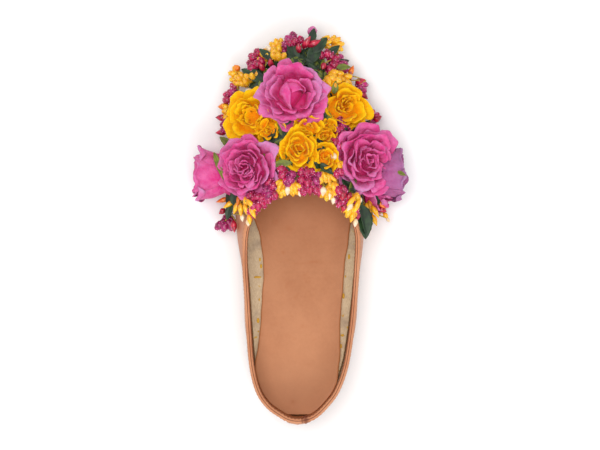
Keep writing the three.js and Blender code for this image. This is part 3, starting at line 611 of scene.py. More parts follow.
def build_upper():
    u, share = np.meshgrid(round_shares(STATIONS), np.linspace(0.0, 1.0, WALL_ROWS) ** 0.92)
    face = face_point(u, share)
    normal = face_normal(u, share)
    waves = upper_waves(share, face) * (1 - smooth(0.9, 1.0, share))
    inner = face - normal * lerp(WALL, SKIVED_WALL, smooth(0.86, 0.93, share))[..., None]
    inner[0] = face[0] - outward_at(u[0]) * WALL
    faces = grid_faces(WALL_ROWS, STATIONS, wrap_columns=True)
    shape = Shape()
    shape.add(face + normal * waves[..., None], faces, 0, mark=0.5 * (1 - smooth(0.0, 0.08, share)))
    shape.add(inner, flipped(faces), 1, mark=0.25)
    station = np.arange(len(faces)) % STATIONS
    from_back = np.minimum(station, STATIONS - station) / STATIONS
    shape.finish[-len(faces):] = np.where(from_back < HEEL_GRIP_SHARE, 2, 1).tolist()
    size = WALL_ROWS * STATIONS
    for start in (0, size - STATIONS):
        shape.join(range(start, start + STATIONS), range(size + start, size + start + STATIONS), 1)
    make_piece("upper_leather", shape, [LEATHER, BOARD, SOCK], ["upper"])


# Section of the rolled edge: out from the wall, down the face, how dark; the dark is painted shade in the
# groove, down the inner side and at the lower edges
BINDING_SECTION = [
    (1.15, 3.5, 0.9), (1.28, 3.2, 0.2), (1.32, 2.4, 0.0), (1.18, 1.9, 0.5), (1.3, 1.4, 0.0),
    (1.22, 0.4, 0.0), (0.95, -0.45, 0.0), (0.55, -1.0, 0.0), (0.22, -1.14, 0.1), (0.0, -0.95, 0.85),
    (-0.22, -0.88, 0.95), (-0.42, -1.08, 0.25), (-0.75, -1.1, 0.05), (-1.1, -0.92, 0.15),
    (-1.35, -0.76, 0.45), (-1.66, -0.6, 0.75), (-1.95, -0.35, 0.85), (-2.12, 0.2, 0.9), (-2.2, 0.8, 0.95),
    (-2.2, 1.8, 0.95), (-2.2, 3.0, 0.95), (-2.05, 3.5, 0.95), (-1.3, 3.55, 0.9), (-1.2, 2.0, 0.5),
    (-1.2, 0.0, 0.5), (-0.5, -0.35, 0.5), (0.2, -0.2, 0.5), (0.35, 2.0, 0.5), (0.35, 3.55, 0.9),
]
# Where the ends of the binding meet behind the heel, and the seam beside them
KNOT_X = 4.0
SEAM_X = 1.5
BACK_OF_HEEL = 12.0


def build_binding():
    """The rolled edge, puckered, with a knot and a seam at the back of the heel."""
    rim, down, normal = rim_frame(round_shares(BINDING_STATIONS))
    distance = np.cumsum(np.linalg.norm(np.roll(rim, -1, axis=0) - rim, axis=1))
    pucker = 0.10 * np.sin(distance * 1.9) + 0.07 * np.sin(distance * 0.83 + 1.0)
    heel = np.exp(-rim[:, 1] / 12.0)
    behind = rim[:, 1] < BACK_OF_HEEL
    knot = bell(rim[:, 0] - KNOT_X, 2.0) * behind
    seam = bell(rim[:, 0] - SEAM_X, 0.35) * behind
    swell = 1 + (0.05 + 0.10 * heel) * np.sin(distance * 2.3) + 0.10 * heel + 0.45 * knot - 0.15 * seam
    rows = []
    shade_knot_seam_marks = []
    for out, depth, dark in BINDING_SECTION:
        drop = depth + pucker * (1.0 if depth < 2.5 else 0.3)
        rows.append(rim + normal * (out * swell)[:, None] + down * drop[:, None])
        # Painted shade from the section, with the knot and the seam darkened as well.
        shade_knot_seam_marks.append(np.clip(dark + 0.8 * knot + 0.7 * seam, 0, 1))
    shape = Shape()
    faces = grid_faces(len(rows), BINDING_STATIONS, wrap_rows=True, wrap_columns=True)
    shape.add(np.stack(rows), faces, 0, mark=np.stack(shade_knot_seam_marks))
    make_piece("rolled_binding", shape, [BINDING], ["topline_binding"])


def capsule(centre, along, side, up, length, width, height, rounds=5, sides=6):
    """A small closed rounded rod of three half axes."""
    points = [centre - along * length / 2]
    for i in range(1, rounds):
        angle = math.pi * i / rounds
        middle = centre - along * (length / 2) * math.cos(angle)
        for j in range(sides):
            turn = 2 * math.pi * j / sides
            ring = side * (width / 2) * math.cos(turn) + up * (height / 2) * math.sin(turn)
            points.append(middle + ring * math.sin(angle) ** 0.7)
    points.append(centre + along * length / 2)
    last = len(points) - 1
    faces = []
    for j in range(sides):
        k = (j + 1) % sides
        faces.append((0, 1 + k, 1 + j))
        faces.append((last, last - sides + j, last - sides + k))
        for i in range(rounds - 2):
            low = 1 + i * sides
            faces.append((low + j, low + k, low + sides + k, low + sides + j))
    return np.array(points), faces


STITCH_LENGTH = 2.1
STITCH_PITCH = 3.1
STITCH_WIDTH = 0.55
STITCH_HEIGHT = 0.4


def stitch_row(shape, line, normals):
    """Stitches at an even pitch along a line of points, each lying on the normal there."""
    steps = np.linalg.norm(np.diff(line, axis=0), axis=1)
    run = np.concatenate([[0], np.cumsum(steps)])
    for distance in np.arange(STITCH_PITCH, run[-1] - STITCH_PITCH / 2, STITCH_PITCH):
        i = int(np.searchsorted(run, distance)) - 1
        centre = lerp(line[i], line[i + 1], (distance - run[i]) / max(steps[i], 1e-9))
        along = unit(line[i + 1] - line[i])
        up = unit(normals[i])
        side = unit(np.cross(along, up))
        shape.add(*capsule(centre, along, side, up, STITCH_LENGTH, STITCH_WIDTH, STITCH_HEIGHT))


def build_binding_stitches():
    """A pale row on the outer face of the rolled edge and a dark one in its groove."""
    rim, down, normal = rim_frame(np.linspace(0.0, 1.0, 1400))
    outer = Shape()
    stitch_row(outer, rim + normal * 1.24 + down * 1.9, normal)
    make_piece("binding_stitches", outer, [THREAD])
    groove = Shape()
    stitch_row(groove, rim - normal * 0.10 - down * 0.86, -down - 0.3 * normal)
    make_piece("groove_stitches", groove, [DARK_THREAD])


def strip_reach():
    """The share of the round that half the back strip covers."""
    start = widest(np.array([0.0]))[0]
    share = 0.0
    while np.linalg.norm(widest(np.array([share]))[0] - start) < BACK_STRIP_WIDTH / 2:
        share += 0.0005
    return share


# Where the strip's stitches run, as a share of its half width
STRIP_STITCHES = 0.72


def build_back_strip():
    """A strip over the back seam, its edges turned down, with a line of stitches inside each edge."""
    rows = 40
    columns = 24
    reach = strip_reach()
    low = 2.0 / BACK_STRIP_LENGTH
    high = 1 - (BINDING_DEPTH + 4 * GAP) / BACK_STRIP_LENGTH
    across, level = np.meshgrid(np.linspace(-1, 1, columns), np.linspace(low, high, rows))
    point = face_point(across * reach, level)
    normal = face_normal(across * reach, level)
    edge = smooth(0.86, 1.0, np.abs(across))
    groove = bell(np.abs(across) - STRIP_STITCHES, 0.05)
    out = 0.4 + BACK_STRIP_THICKNESS * (1 - 0.55 * edge) - 0.18 * groove + 0.25 * bell(across, 0.12)
    faces = grid_faces(rows, columns)
    shape = Shape()
    shape.add(point + normal * out[..., None], faces, 0, mark=0.7 * edge + 0.3 * groove)
    shape.add(point + normal * 0.2, flipped(faces), 0, mark=0.5)
    border = grid_border(rows, columns)
    shape.join(border, [corner + rows * columns for corner in border])
    make_piece("back_seam_strip", shape, [LEATHER], ["back_strip"])
    stitches = Shape()
    run = np.linspace(low + 0.03, high - 0.03, 120)
    for side in (-STRIP_STITCHES, STRIP_STITCHES):
        u = np.full_like(run, side * reach)
        normals = face_normal(u, run)
        stitch_row(stitches, face_point(u, run) + normals * 1.3, normals)
    make_piece("back_seam_stitches", stitches, [THREAD])


# The bottom

# Inset from the outline and height above the tread, for each corner of the sole's edge
SOLE_LAYERS = [
    (2.9, 0.0), (1.7, 0.05), (0.95, 0.45), (0.72, 0.95), (0.7, 1.7), (0.86, 1.95), (0.72, 2.2), (0.74, 2.72),
    (1.3, 2.86), (1.6, 3.1), (1.6, 4.0),
]
TREAD_STITCH_INSET = 3.4


def outline(u, inset):
    """The last's outline in plan, drawn in by inset."""
    point = widest(u) - outward_at(u) * np.reshape(inset, (-1, 1))
    point[:, 2] = 0.0
    return point


def sole_ring(u, inset, rise):
    """A ring that follows the sole's tread from a height above it."""
    point = outline(u, inset)
    point[:, 2] = sole_bottom(point[:, 1]) + rise
    return point


def build_outsole():
    u = round_shares(STATIONS)
    shape = Shape()
    rings = [sole_ring(u, inset, rise) for inset, rise in SOLE_LAYERS]
    faces = grid_faces(len(rings), STATIONS, wrap_columns=True)
    shape.add(np.stack(rings), faces[:STATIONS], 0, mark=0.0)
    shape.add_faces(faces[STATIONS:], 1)
    add_ends(shape, len(rings))
    make_piece("leather_outsole", shape, [SOLE_FACE, SOLE_EDGE], ["outsole"])
    run = np.linspace(0.0, 1.0, 1400)
    line = sole_ring(run[(run > 0.14) & (run < 0.86)], TREAD_STITCH_INSET, -0.02)
    stitches = Shape()
    stitch_row(stitches, line, np.tile(-UP, (len(line), 1)))
    make_piece("tread_stitches", stitches, [THREAD])


# How far the heel's outline lies inside the last's
HEEL_INSET = 0.8


def heel_ring(inset, height, sides=60, breast=26):
    """The heel's outline at a height, with its hollow front."""
    low = 0.0
    high = 0.5
    for _ in range(40):
        middle = (low + high) / 2
        if outline(np.array([middle]), HEEL_INSET)[0, 1] < HEEL_LENGTH - inset:
            low = middle
        else:
            high = middle
    ring = outline(np.linspace(-low, low, sides), HEEL_INSET + inset)
    share = np.linspace(0, 1, breast + 1)[1:-1]
    front = lerp(ring[-1], ring[0], share[:, None])
    front[:, 1] -= BREAST_HOLLOW * np.sin(np.pi * share)
    ring = np.concatenate([ring, front])
    ring[:, 2] = height
    return ring


# Inset and height of each corner of the stacked lifts, with a groove between two lifts
HEEL_LAYERS = [
    (3.4, 0.0), (2.1, 0.02), (1.6, 0.5), (1.42, 1.75), (1.58, 1.95), (1.35, 2.15), (1.12, 3.6),
    (1.28, 3.8), (1.05, 4.0), (0.8, 5.2), (0.96, 5.4), (0.7, 5.6), (0.34, 6.62), (0.5, 6.7),
]


def build_heel():
    rings = [heel_ring(inset, height) for inset, height in HEEL_LAYERS]
    size = len(rings[0])
    shape = Shape()
    shape.add(np.stack(rings), grid_faces(len(rings), size, wrap_columns=True), 0, mark=0.2)
    shape.add([rings[0].mean(axis=0), rings[-1].mean(axis=0)], [])
    foot = len(rings) * size
    top = foot - size
    for i in range(size):
        k = (i + 1) % size
        shape.add_faces([(foot, k, i), (foot + 1, top + i, top + k)], 1)
    make_piece("stacked_heel", shape, [HEEL_EDGE, SOLE_FACE], ["heel"])


def build_insole():
    """The cream board, its cut edge a little fuzzy."""
    u = round_shares(STATIONS)
    fuzz = np.random.default_rng(4).normal(0, 0.06, STATIONS)
    inset = FEATHER_TUCK + WALL + GAP * 2
    rings = []
    for further, rise in [(0.3, 0.0), (0.0, 0.3), (0.0, 1.8), (0.2, 2.1), (0.7, INSOLE_THICKNESS)]:
        ring = outline(u, inset + further + fuzz)
        ring[:, 2] = insole_base(ring[:, 1]) + rise
        rings.append(ring)
    shape = Shape()
    shape.add(np.stack(rings), grid_faces(len(rings), STATIONS, wrap_columns=True), 0, mark=1.0)
    add_ends(shape, len(rings))
    make_piece("insole_board_felt", shape, [BOARD], ["insole_board"])


SOCK_BACK_REACH = 3.6
SOCK_HEEL_INSET = 3.3
# Scuffs and specks of the sock: x, y, half width, half length, depth of the stain
SOCK_SPOTS = [
    (-7.5, 129.8, 2.2, 1.6, 0.3), (-11.2, 113.7, 1.1, 1.0, 0.45), (9.5, 107.5, 4.5, 0.7, 0.28),
    (1.0, 106.5, 6.0, 0.6, 0.18), (-0.4, 55.6, 0.9, 0.9, 0.75), (-4.8, 13.3, 1.6, 1.6, 0.35),
    (14.0, 82.0, 3.0, 0.8, 0.15), (-16.0, 66.0, 2.0, 1.0, 0.12), (6.0, 38.0, 2.4, 0.8, 0.14),
]


def insole_sides(y):
    """How far the seat of the heel reaches to the medial and to the lateral side at each y."""
    share = np.linspace(0.0, 0.5, 400)
    left = outline(share, SOCK_HEEL_INSET)
    right = outline(-share, SOCK_HEEL_INSET)
    return np.interp(y, left[:, 1], -left[:, 0]), np.interp(y, right[:, 1], right[:, 0])


# Glue that squeezed out along the sock's edge: x, y, half width, half length
GLUE_SPECKS = [
    (-27.0, 108.9, 0.6, 1.3), (-26.2, 104.4, 0.8, 1.5), (-28.6, 97.1, 2.6, 0.7), (-28.2, 67.9, 1.0, 1.7),
    (33.1, 110.8, 0.8, 1.8), (29.3, 84.4, 0.9, 1.9), (28.6, 57.9, 1.3, 0.8), (27.4, 50.6, 1.0, 1.5),
    (-28.0, 60.5, 0.5, 0.6), (30.6, 97.5, 0.5, 0.8), (29.0, 71.0, 0.5, 0.7), (-27.4, 82.0, 0.5, 0.9),
]
SPECK_HEIGHT = 0.6


def build_glue_specks():
    shape = Shape()
    for x, y, wide, long in GLUE_SPECKS:
        centre = np.array([x, y, insole_base(np.array([y]))[0] + INSOLE_THICKNESS + 0.15])
        shape.add(*capsule(centre, np.array([0.0, 1.0, 0.0]), np.array([1.0, 0.0, 0.0]), UP,
                           2 * long, 2 * wide, SPECK_HEIGHT, rounds=6, sides=9))
    make_piece("glue_specks", shape, [GLUE])


def sock_sides(sides, y):
    """The wavy medial and lateral edges of the sock, which fill the seat of the heel."""
    wave = (0.18 * np.sin(y / 6.0) + 0.12 * np.sin(y / 2.3 + 1.0)) * smooth(30, 60, y)
    seat_left, seat_right = insole_sides(y)
    left = -lerp(sides[:, 1] * HALF_BALL, seat_left, 1 - smooth(34.0, 48.0, y)) - wave
    right = lerp(sides[:, 2] * HALF_BALL, seat_right, 1 - smooth(24.0, 38.0, y)) + 0.8 * wave
    return left[:, None], right[:, None]


def sock_stains(x, y, rim):
    """How dark the sock is: along its rim, on its spots and towards the toe."""
    mark = 0.35 * rim + np.zeros_like(x)
    for spot_x, spot_y, wide, long, depth in SOCK_SPOTS:
        mark = mark + depth * np.exp(-((x - spot_x) / wide) ** 2 - ((y - spot_y) / long) ** 2)
    return np.clip(mark + 0.30 * smooth(100.0, 160.0, y), 0, 1)


def build_sock():
    """The tan sock lining: a thin sheet with a rolled, slightly wavy edge, scuffed at the ball and heel, and
    lightened at the heel by painted light against the shade of the walls.
    """
    rows = 150
    columns = 52
    sides = spline(SOCK_ROWS, np.linspace(0, len(SOCK_ROWS) - 1, rows))
    y = sides[:, 0] * SHOE_LENGTH
    y = y - SOCK_BACK_REACH * (1 - smooth(8.0, 40.0, y))
    left, right = sock_sides(sides, y)
    across = np.linspace(-1, 1, columns)
    rim = smooth(0.97, 1.0, np.abs(across))
    top = np.zeros((rows, columns, 3))
    top[..., 0] = lerp(left, right, (np.sign(across) * np.abs(across) ** 0.7 + 1) / 2)
    top[..., 1] = y[:, None]
    base = insole_base(top[..., 1]) + INSOLE_THICKNESS + GAP
    lift = 0.22 * smooth(0.88, 0.97, np.abs(across)) - 0.4 * rim
    hollow = 0.175 * bell(y - 30, 22.0) - 0.14 * np.sin(y / 3.4) * smooth(132, 160, y)
    top[..., 2] = base + SOCK_THICKNESS + lift - hollow[:, None] * (1 - across ** 2)
    bottom = top.copy()
    bottom[..., 2] = base + 0.05 + np.maximum(lift, 0) * 0.6
    # Painted light: lighter towards the heel, against the shade of the walls.
    worn = 0.38 * (1 - smooth(20.0, 75.0, top[..., 1]))
    faces = grid_faces(rows, columns)
    shape = Shape()
    shape.add(top, flipped(faces), 0, mark=sock_stains(top[..., 0], top[..., 1], rim), worn=worn)
    shape.add(bottom, faces, 0, mark=0.8)
    border = grid_border(rows, columns)
    shape.join([corner + rows * columns for corner in border], border)
    make_piece("sock_lining", shape, [SOCK], ["sock"])


# Where the trimming sits

def face_samples(stations, levels):
    """Shares round and up the upper's face, in one row each, and the points there."""
    u, share = np.meshgrid(round_shares(stations), levels, indexing="ij")
    u = u.reshape(-1)
    share = share.reshape(-1)
    return u, share, face_point(u, share)


SEATS = face_samples(136, np.linspace(0.16, 0.98, 30))


def seat_near(x, y):
    """The place on the upper's face nearest to a point in plan, and the normal there."""
    u, share, point = SEATS
    nearest = int(np.argmin(np.hypot(point[:, 0] - x, point[:, 1] - y)))
    place = (u[nearest:nearest + 1], share[nearest:nearest + 1])
    return face_point(*place)[0], face_normal(*place)[0]


def upper_skin():
    """A search tree over the upper's outer face, its points and the normal at each."""
    u, share, places = face_samples(260, np.linspace(0.02, 0.99, 44))
    tree = kdtree.KDTree(len(places))
    for number, place in enumerate(places):
        tree.insert(place, number)
    tree.balance()
    return tree, places, face_normal(u, share)


SKIN, SKIN_PLACES, SKIN_NORMALS = upper_skin()


def clear_of_upper(points, gap):
    """Points lifted off the leather wherever they would come nearer than gap or sink into it."""
    points = np.asarray(points, float)
    flat = points.reshape(-1, 3)
    numbers = np.array([SKIN.find(place)[1] for place in flat])
    normals = SKIN_NORMALS[numbers]
    height = ((flat - SKIN_PLACES[numbers]) * normals).sum(axis=1)
    lifted = flat + normals * np.maximum(0.0, gap - height)[:, None]
    return lifted.reshape(points.shape)


class Seat:
    """A frame at a place in plan; its axis leans from straight up to the face's normal."""

    def __init__(self, at, across, lean, lift):
        self.point, normal = seat_near(across * HALF_BALL, at * SHOE_LENGTH)
        self.axis = unit(lerp(UP, normal, lean))
        right = np.array([1.0, 0.0, 0.0]) - self.axis * self.axis[0]
        if np.linalg.norm(right) < 0.3:
            right = np.array([0.0, 1.0, 0.0]) - self.axis * self.axis[1]
        self.right = unit(right)
        self.ahead = np.cross(self.axis, self.right)
        self.origin = self.point + UP * lift

    def around(self, sizes, out, angle, up, drift=(0.0, 0.0)):
        """Places at shares of a bloom's sizes: out from its axis along an angle, and up it."""
        half_wide, half_long, tall = sizes
        aside = half_wide * (out * np.sin(angle) + drift[0])
        ahead = half_long * (out * np.cos(angle) + drift[1])
        return (self.origin + self.right * aside[..., None] + self.ahead * ahead[..., None]
                + self.axis * (tall * up)[..., None])


# Roses: petals are curved sheets round a closed heart

# Rows and columns of a petal, by the reach in millimetres that it stays under
PETAL_GRIDS = [(6.0, (11, 15)), (12.5, (15, 19)), (99.0, (19, 27))]
PETAL_THICKNESS = 0.22
PETAL_GAP = 0.5
FLOOR_CLEARANCE = 3.0
FLOOR_BEND = 5.0


def wobble(points, rng, size, amount):
    """A smooth seeded displacement of points; its waves are about size millimetres long."""
    moved = np.zeros_like(points)
    for _ in range(6):
        wave = unit(rng.normal(size=3)) * 2 * np.pi / (size * rng.uniform(0.75, 1.5))
        push = unit(rng.normal(size=3))
        moved += np.sin(points @ wave + rng.uniform(0, 2 * np.pi))[..., None] * push
    return moved * amount / 2.4


def clear_of_floor(points):
    """Petals that would dip under the shoe bend level just above the ground."""
    below = np.maximum(0.0, FLOOR_CLEARANCE + FLOOR_BEND - points[..., 2])
    bent = FLOOR_CLEARANCE + FLOOR_BEND * np.exp(-below / FLOOR_BEND)
    points[..., 2] = np.where(below > 0, bent, points[..., 2])
    return points


def petal_run(t, s, point, flat_share, notch, phase):
    """How far each point of a petal is from its foot: its shoulders fall short and its rim is nicked."""
    shoulder = 1 - 0.26 * np.abs(s) ** 3 - point * (np.abs(s) - s ** 2) * 0.5
    nick = 0.07 * bell(s - notch, 0.13) - 0.010 * np.sin(11 * s + phase[1])
    return t * (shoulder + 0.03 * np.sin(4 * s + phase[0]) - flat_share * nick)


def petal_profile(t, reach, height, curl, cup):
    """Distance out and height along a petal, from its foot to its rolled rim."""
    bend = np.clip(t / 0.84, 0, 1)
    out = lerp(lerp(0.30, 0.42, cup) * reach, reach * 0.97, bend ** lerp(0.85, 0.42, cup))
    up = height * (0.08 + 0.92 * bend ** lerp(1.45, 1.05, cup))
    roll = np.clip((t - 0.74) / 0.26, 0, 1)
    out = out + curl * reach * 0.13 * np.sin(roll * 1.9)
    up = up - curl * height * 0.28 * (1 - np.cos(roll * 1.8))
    return out, up


def add_petal(shape, seat, sizes, row, cup, rng):
    """One petal; see the tables below for what a row holds."""
    heading, reach, spread, height, curl, point, tone = row
    rows, columns = next(size for limit, size in PETAL_GRIDS if reach * sizes[0] < limit)
    t, s = grid(rows, columns)
    phase = rng.uniform(0, 2 * np.pi, 5)
    notch = rng.uniform(-0.6, 0.6)
    flat_share = 1 - 0.8 * cup
    run = petal_run(t, s, point, flat_share, notch, phase)
    out, up = petal_profile(run, reach, height, curl * (1 + 0.55 * np.sin(2.2 * s + phase[0])), cup)
    fold_wave = np.sin(2.6 * s + phase[1]) * 0.085 + np.sin(5.6 * s + phase[2]) * 0.045
    pleats = rng.uniform(2.4, 5.2)
    crease = (0.5 - np.abs(np.sin(pleats * s + 1.4 * run + phase[4])) ** 0.6) * (1 - 0.7 * cup)
    out = out + reach * (fold_wave * run ** 1.6 + 0.075 * crease * run ** 1.7)
    rim_wave = np.sin(3.1 * s + phase[3]) * 0.08 + np.sin(7.3 * s + phase[4]) * 0.035
    up = up + height * (0.10 * crease * run ** 1.4 + 0.9 * run ** 2 * rim_wave
                        + 0.04 * flat_share * run ** 5 * np.sin(11 * s + phase[2]))
    wide = 0.50 + 0.50 * np.sin(np.clip(run, 0, 1) * np.pi / 1.6)
    angle = math.radians(heading) + math.radians(spread) / 2 * s * wide
    out = out * (1 - 0.12 * s ** 2 * (1 - 0.4 * run)) * (1 + 0.07 * s)
    drift = rng.uniform(-0.26, 0.26, 2) * max(0.0, 0.90 - reach)
    points = seat.around(sizes, out, angle, up, drift)
    share = min(1.0, sizes[0] / 18.0)
    points = points + wobble(points, rng, 12.0, 0.95 * share) * run[..., None]
    points = points + wobble(points, rng, 4.6, 0.55 * share * flat_share) * run[..., None] ** 0.5
    points = clear_of_upper(clear_of_floor(points), PETAL_GAP)
    # Painted shade: the deep colour lies at the petal's foot, deep in the bloom, and in the hollows between
    # its creases.
    hollow = np.clip(0.5 - crease, 0, 1) ** 3 * smooth(0.25, 0.6, run) * (1 - smooth(0.8, 1.0, run))
    fold = np.clip(1.02 - run * 1.30, 0, 1) ** 1.1 * lerp(1.0, 0.2, cup) + 0.30 * hollow
    shape.add(points, grid_faces(rows, columns), 0, fold=fold,
              tone=tone * smooth(0.2, 0.9, run), rim=smooth(0.66, 1.0, run))


def add_crumple(shape, seat, sizes, count, cup, rng):
    """Small pinched petals that fill an open heart."""
    for _ in range(count):
        reach, height = rng.uniform(0.20, 0.40), rng.uniform(0.72, 0.96)
        row = (rng.uniform(0, 360), reach, rng.uniform(70, 120), height, rng.uniform(0.3, 0.9),
               rng.uniform(0.2, 0.7), rng.uniform(0.0, 0.4))
        add_petal(shape, seat, sizes, row, cup, rng)


def add_wrap(shape, seat, sizes, row, rng):
    """One sheet of the closed heart: a piece of a dome drawn out to a point, its edges standing off."""
    heading, radius, spread, low, high, point_heading, pull, tone, depth = row
    rows = 16
    columns = 26
    t, s = grid(rows, columns)
    angle = math.radians(heading) + math.radians(spread) / 2 * s * (1 - 0.12 * t)
    turned = angle - math.radians(point_heading)
    ahead = np.clip(np.cos(turned), 0, 1)
    pointed = 1 / (np.abs(np.sin(turned)) + ahead / (1 + pull))
    drawn = np.where(ahead > 0, pointed, 1.0) * (1 + 0.04 * s)
    lift = 0.06 * np.abs(s) ** 3 * (1 - smooth(0.6, 1.0, t))
    out = radius * drawn * np.clip(np.cos(t * np.pi / 2), 0, 1) ** 0.75 + lift * 0.5
    points = seat.around(sizes, out, angle, lerp(low, high, np.sin(t * np.pi / 2)) + lift)
    points = points + wobble(points, rng, 11.0, 0.35)
    edge = smooth(0.78, 1.0, np.abs(s))
    # Painted shade: darker towards the foot of the sheet.
    fold = np.clip(np.clip(0.9 - 1.6 * t, 0, 1) + depth * (1 - edge), 0, 1)
    shape.add(points, grid_faces(rows, columns), 0, fold=fold, tone=tone * (0.35 + 0.65 * edge), rim=edge)


def add_roll(shape, seat, sizes, row, rng):
    """An open heart: a strip wound inwards, pulled out to corners, its rim rolled over."""
    turns, radius, height, corners, pull, heading = row
    columns = 130
    rows = 11
    t, s = grid(rows, columns, 0.0)
    angle = 2 * np.pi * turns * s + math.radians(heading)
    drawn = 1 + pull * np.cos(corners * (angle - math.radians(heading)))
    drawn = drawn + 0.07 * np.sin(1.6 * angle + 1) + 0.05 * np.sin(2.7 * angle)
    roll = smooth(0.70, 1.0, t)
    overlap = np.abs(np.sin(angle * 0.75 + 0.6)) ** 0.5
    out = lerp(0.0, radius, s ** 0.8) * drawn * (0.80 + 0.14 * t) + 0.022 * roll * overlap
    up = height * (0.76 + 0.24 * t ** 0.8) * (0.88 + 0.12 * overlap) - 0.16 * s ** 2 - 0.03 * roll ** 2
    points = seat.around(sizes, out, angle, up)
    points = points + wobble(points, rng, 7.0, 0.8) + wobble(points, rng, 3.6, 0.4)
    # Painted shade: darker low in the wound heart.
    shape.add(points, grid_faces(rows, columns), 0, fold=np.clip(0.70 - 1.1 * t, 0, 1), tone=0.15, rim=roll)


def add_foot(shape, seat, sizes):
    """A dome under the petals, in the deep colour as painted shade, so that nothing shows through between
    them.
    """
    rows = 7
    columns = 28
    t, angle = round_grid(rows, columns)
    out = 0.80 * np.cos(t * np.pi / 2) ** 0.7
    points = seat.around(sizes, out, angle, -0.25 + 0.70 * np.sin(t * np.pi / 2))
    points = clear_of_upper(clear_of_floor(points), PETAL_GAP)
    shape.add(points, grid_faces(rows, columns, wrap_columns=True), 0, fold=0.7, tone=0.0, rim=0.0)


# Petals of each rose, outer ones first. Headings turn clockwise from the toe, seen
# from above; reach is a share of the half width, spread an angle, height a share of
# the bloom's height, curl how far the rim rolls, point how pointed, tone how pale.
ROSE_CENTRE_PETALS = [
    (62, 1.02, 84, 0.42, 0.6, 0.3, 0.8), (100, 1.02, 70, 0.38, 0.6, 0.5, 0.25),
    (132, 0.98, 70, 0.34, 0.7, 0.3, 0.15), (182, 1.06, 62, 0.3, 0.6, 1.0, 0.3),
    (226, 0.98, 78, 0.36, 0.6, 0.4, 0.5), (276, 1.04, 66, 0.44, 0.6, 0.9, 0.7),
    (314, 1.02, 60, 0.46, 0.5, 0.6, 0.7), (338, 1.0, 60, 0.5, 0.5, 0.5, 0.4),
    (38, 1.0, 70, 0.6, 0.6, 0.2, 0.95), (84, 0.8, 78, 0.6, 0.8, 0.4, 0.6),
    (140, 0.76, 84, 0.54, 0.8, 0.4, 0.2), (196, 0.74, 86, 0.52, 0.9, 0.3, 0.25),
    (246, 0.76, 80, 0.6, 0.7, 0.6, 0.3), (296, 0.8, 82, 0.66, 0.6, 0.5, 0.5),
    (6, 0.94, 92, 0.84, 0.5, 0.0, 0.05), (66, 0.6, 92, 0.78, 0.7, 0.2, 0.3),
    (118, 0.56, 80, 0.72, 0.7, 0.3, 0.05), (206, 0.52, 92, 0.66, 0.8, 0.3, 0.05),
    (286, 0.56, 96, 0.8, 0.5, 0.2, 0.3), (24, 0.5, 100, 0.9, 0.5, 0.0, 0.0),
]
ROSE_LEFT_PETALS = [
    (312, 1.1, 84, 0.46, 0.5, 0.5, 0.5), (356, 1.0, 84, 0.46, 0.5, 0.2, 0.1),
    (48, 1.08, 76, 0.46, 0.7, 0.7, 0.95), (92, 1.0, 76, 0.4, 0.5, 0.4, 0.3),
    (130, 1.16, 84, 0.36, 0.5, 0.6, 0.95), (178, 1.0, 84, 0.32, 0.6, 0.3, 0.45),
    (226, 1.1, 84, 0.34, 0.5, 0.5, 0.35), (272, 0.98, 84, 0.42, 0.4, 0.1, 0.1),
    (344, 0.84, 96, 0.7, 0.6, 0.3, 0.05), (44, 0.8, 84, 0.66, 0.9, 0.7, 0.15),
    (98, 0.8, 76, 0.58, 0.8, 0.3, 0.55), (160, 0.8, 92, 0.5, 0.9, 0.2, 0.1),
    (226, 0.8, 92, 0.56, 0.6, 0.2, 0.05), (290, 0.82, 96, 0.68, 0.4, 0.2, 0.05),
    (20, 0.58, 100, 0.82, 0.6, 0.3, 0.05), (100, 0.52, 80, 0.72, 0.8, 0.3, 0.25),
    (236, 0.58, 108, 0.78, 0.5, 0.3, 0.0), (306, 0.6, 100, 0.86, 0.4, 0.2, 0.05),
    (64, 0.42, 90, 0.84, 0.5, 0.4, 0.25), (148, 0.6, 74, 0.7, 0.9, 0.4, 0.45),
    (176, 0.44, 84, 0.78, 0.7, 0.5, 0.1), (206, 0.6, 70, 0.7, 0.6, 0.2, 0.3),
    (268, 0.42, 92, 0.84, 0.4, 0.3, 0.2), (334, 0.42, 96, 0.9, 0.4, 0.2, 0.1),
]
ROSE_RIGHT_PETALS = [
    (352, 1.06, 80, 0.5, 0.6, 0.4, 0.15), (36, 1.06, 84, 0.48, 0.6, 0.4, 0.35),
    (82, 1.02, 84, 0.42, 0.5, 0.3, 0.2), (128, 1.04, 84, 0.36, 0.6, 0.4, 0.1),
    (172, 1.04, 80, 0.32, 0.6, 0.7, 0.2), (214, 1.06, 76, 0.36, 0.6, 0.5, 0.75),
    (258, 0.98, 84, 0.42, 0.5, 0.2, 0.6), (306, 1.04, 80, 0.48, 0.5, 0.5, 0.2),
    (20, 0.84, 92, 0.72, 0.7, 0.3, 0.05), (78, 0.82, 88, 0.62, 0.8, 0.3, 0.3),
    (136, 0.8, 84, 0.54, 0.9, 0.2, 0.1), (198, 0.82, 92, 0.54, 0.7, 0.4, 0.8),
    (256, 0.8, 92, 0.64, 0.6, 0.3, 0.25), (322, 0.84, 92, 0.72, 0.5, 0.3, 0.05),
    (45, 0.62, 92, 0.84, 0.7, 0.5, 0.05), (132, 0.58, 88, 0.72, 0.8, 0.3, 0.0),
    (222, 0.58, 92, 0.74, 0.7, 0.3, 0.2), (312, 0.62, 96, 0.86, 0.5, 0.4, 0.05),
    (8, 0.44, 92, 0.92, 0.5, 0.3, 0.15), (88, 0.44, 84, 0.84, 0.6, 0.5, 0.1),
    (168, 0.6, 72, 0.68, 0.8, 0.4, 0.3), (184, 0.42, 84, 0.8, 0.6, 0.2, 0.5),
    (256, 0.42, 92, 0.86, 0.5, 0.3, 0.3), (285, 0.6, 70, 0.78, 0.6, 0.4, 0.5),
]
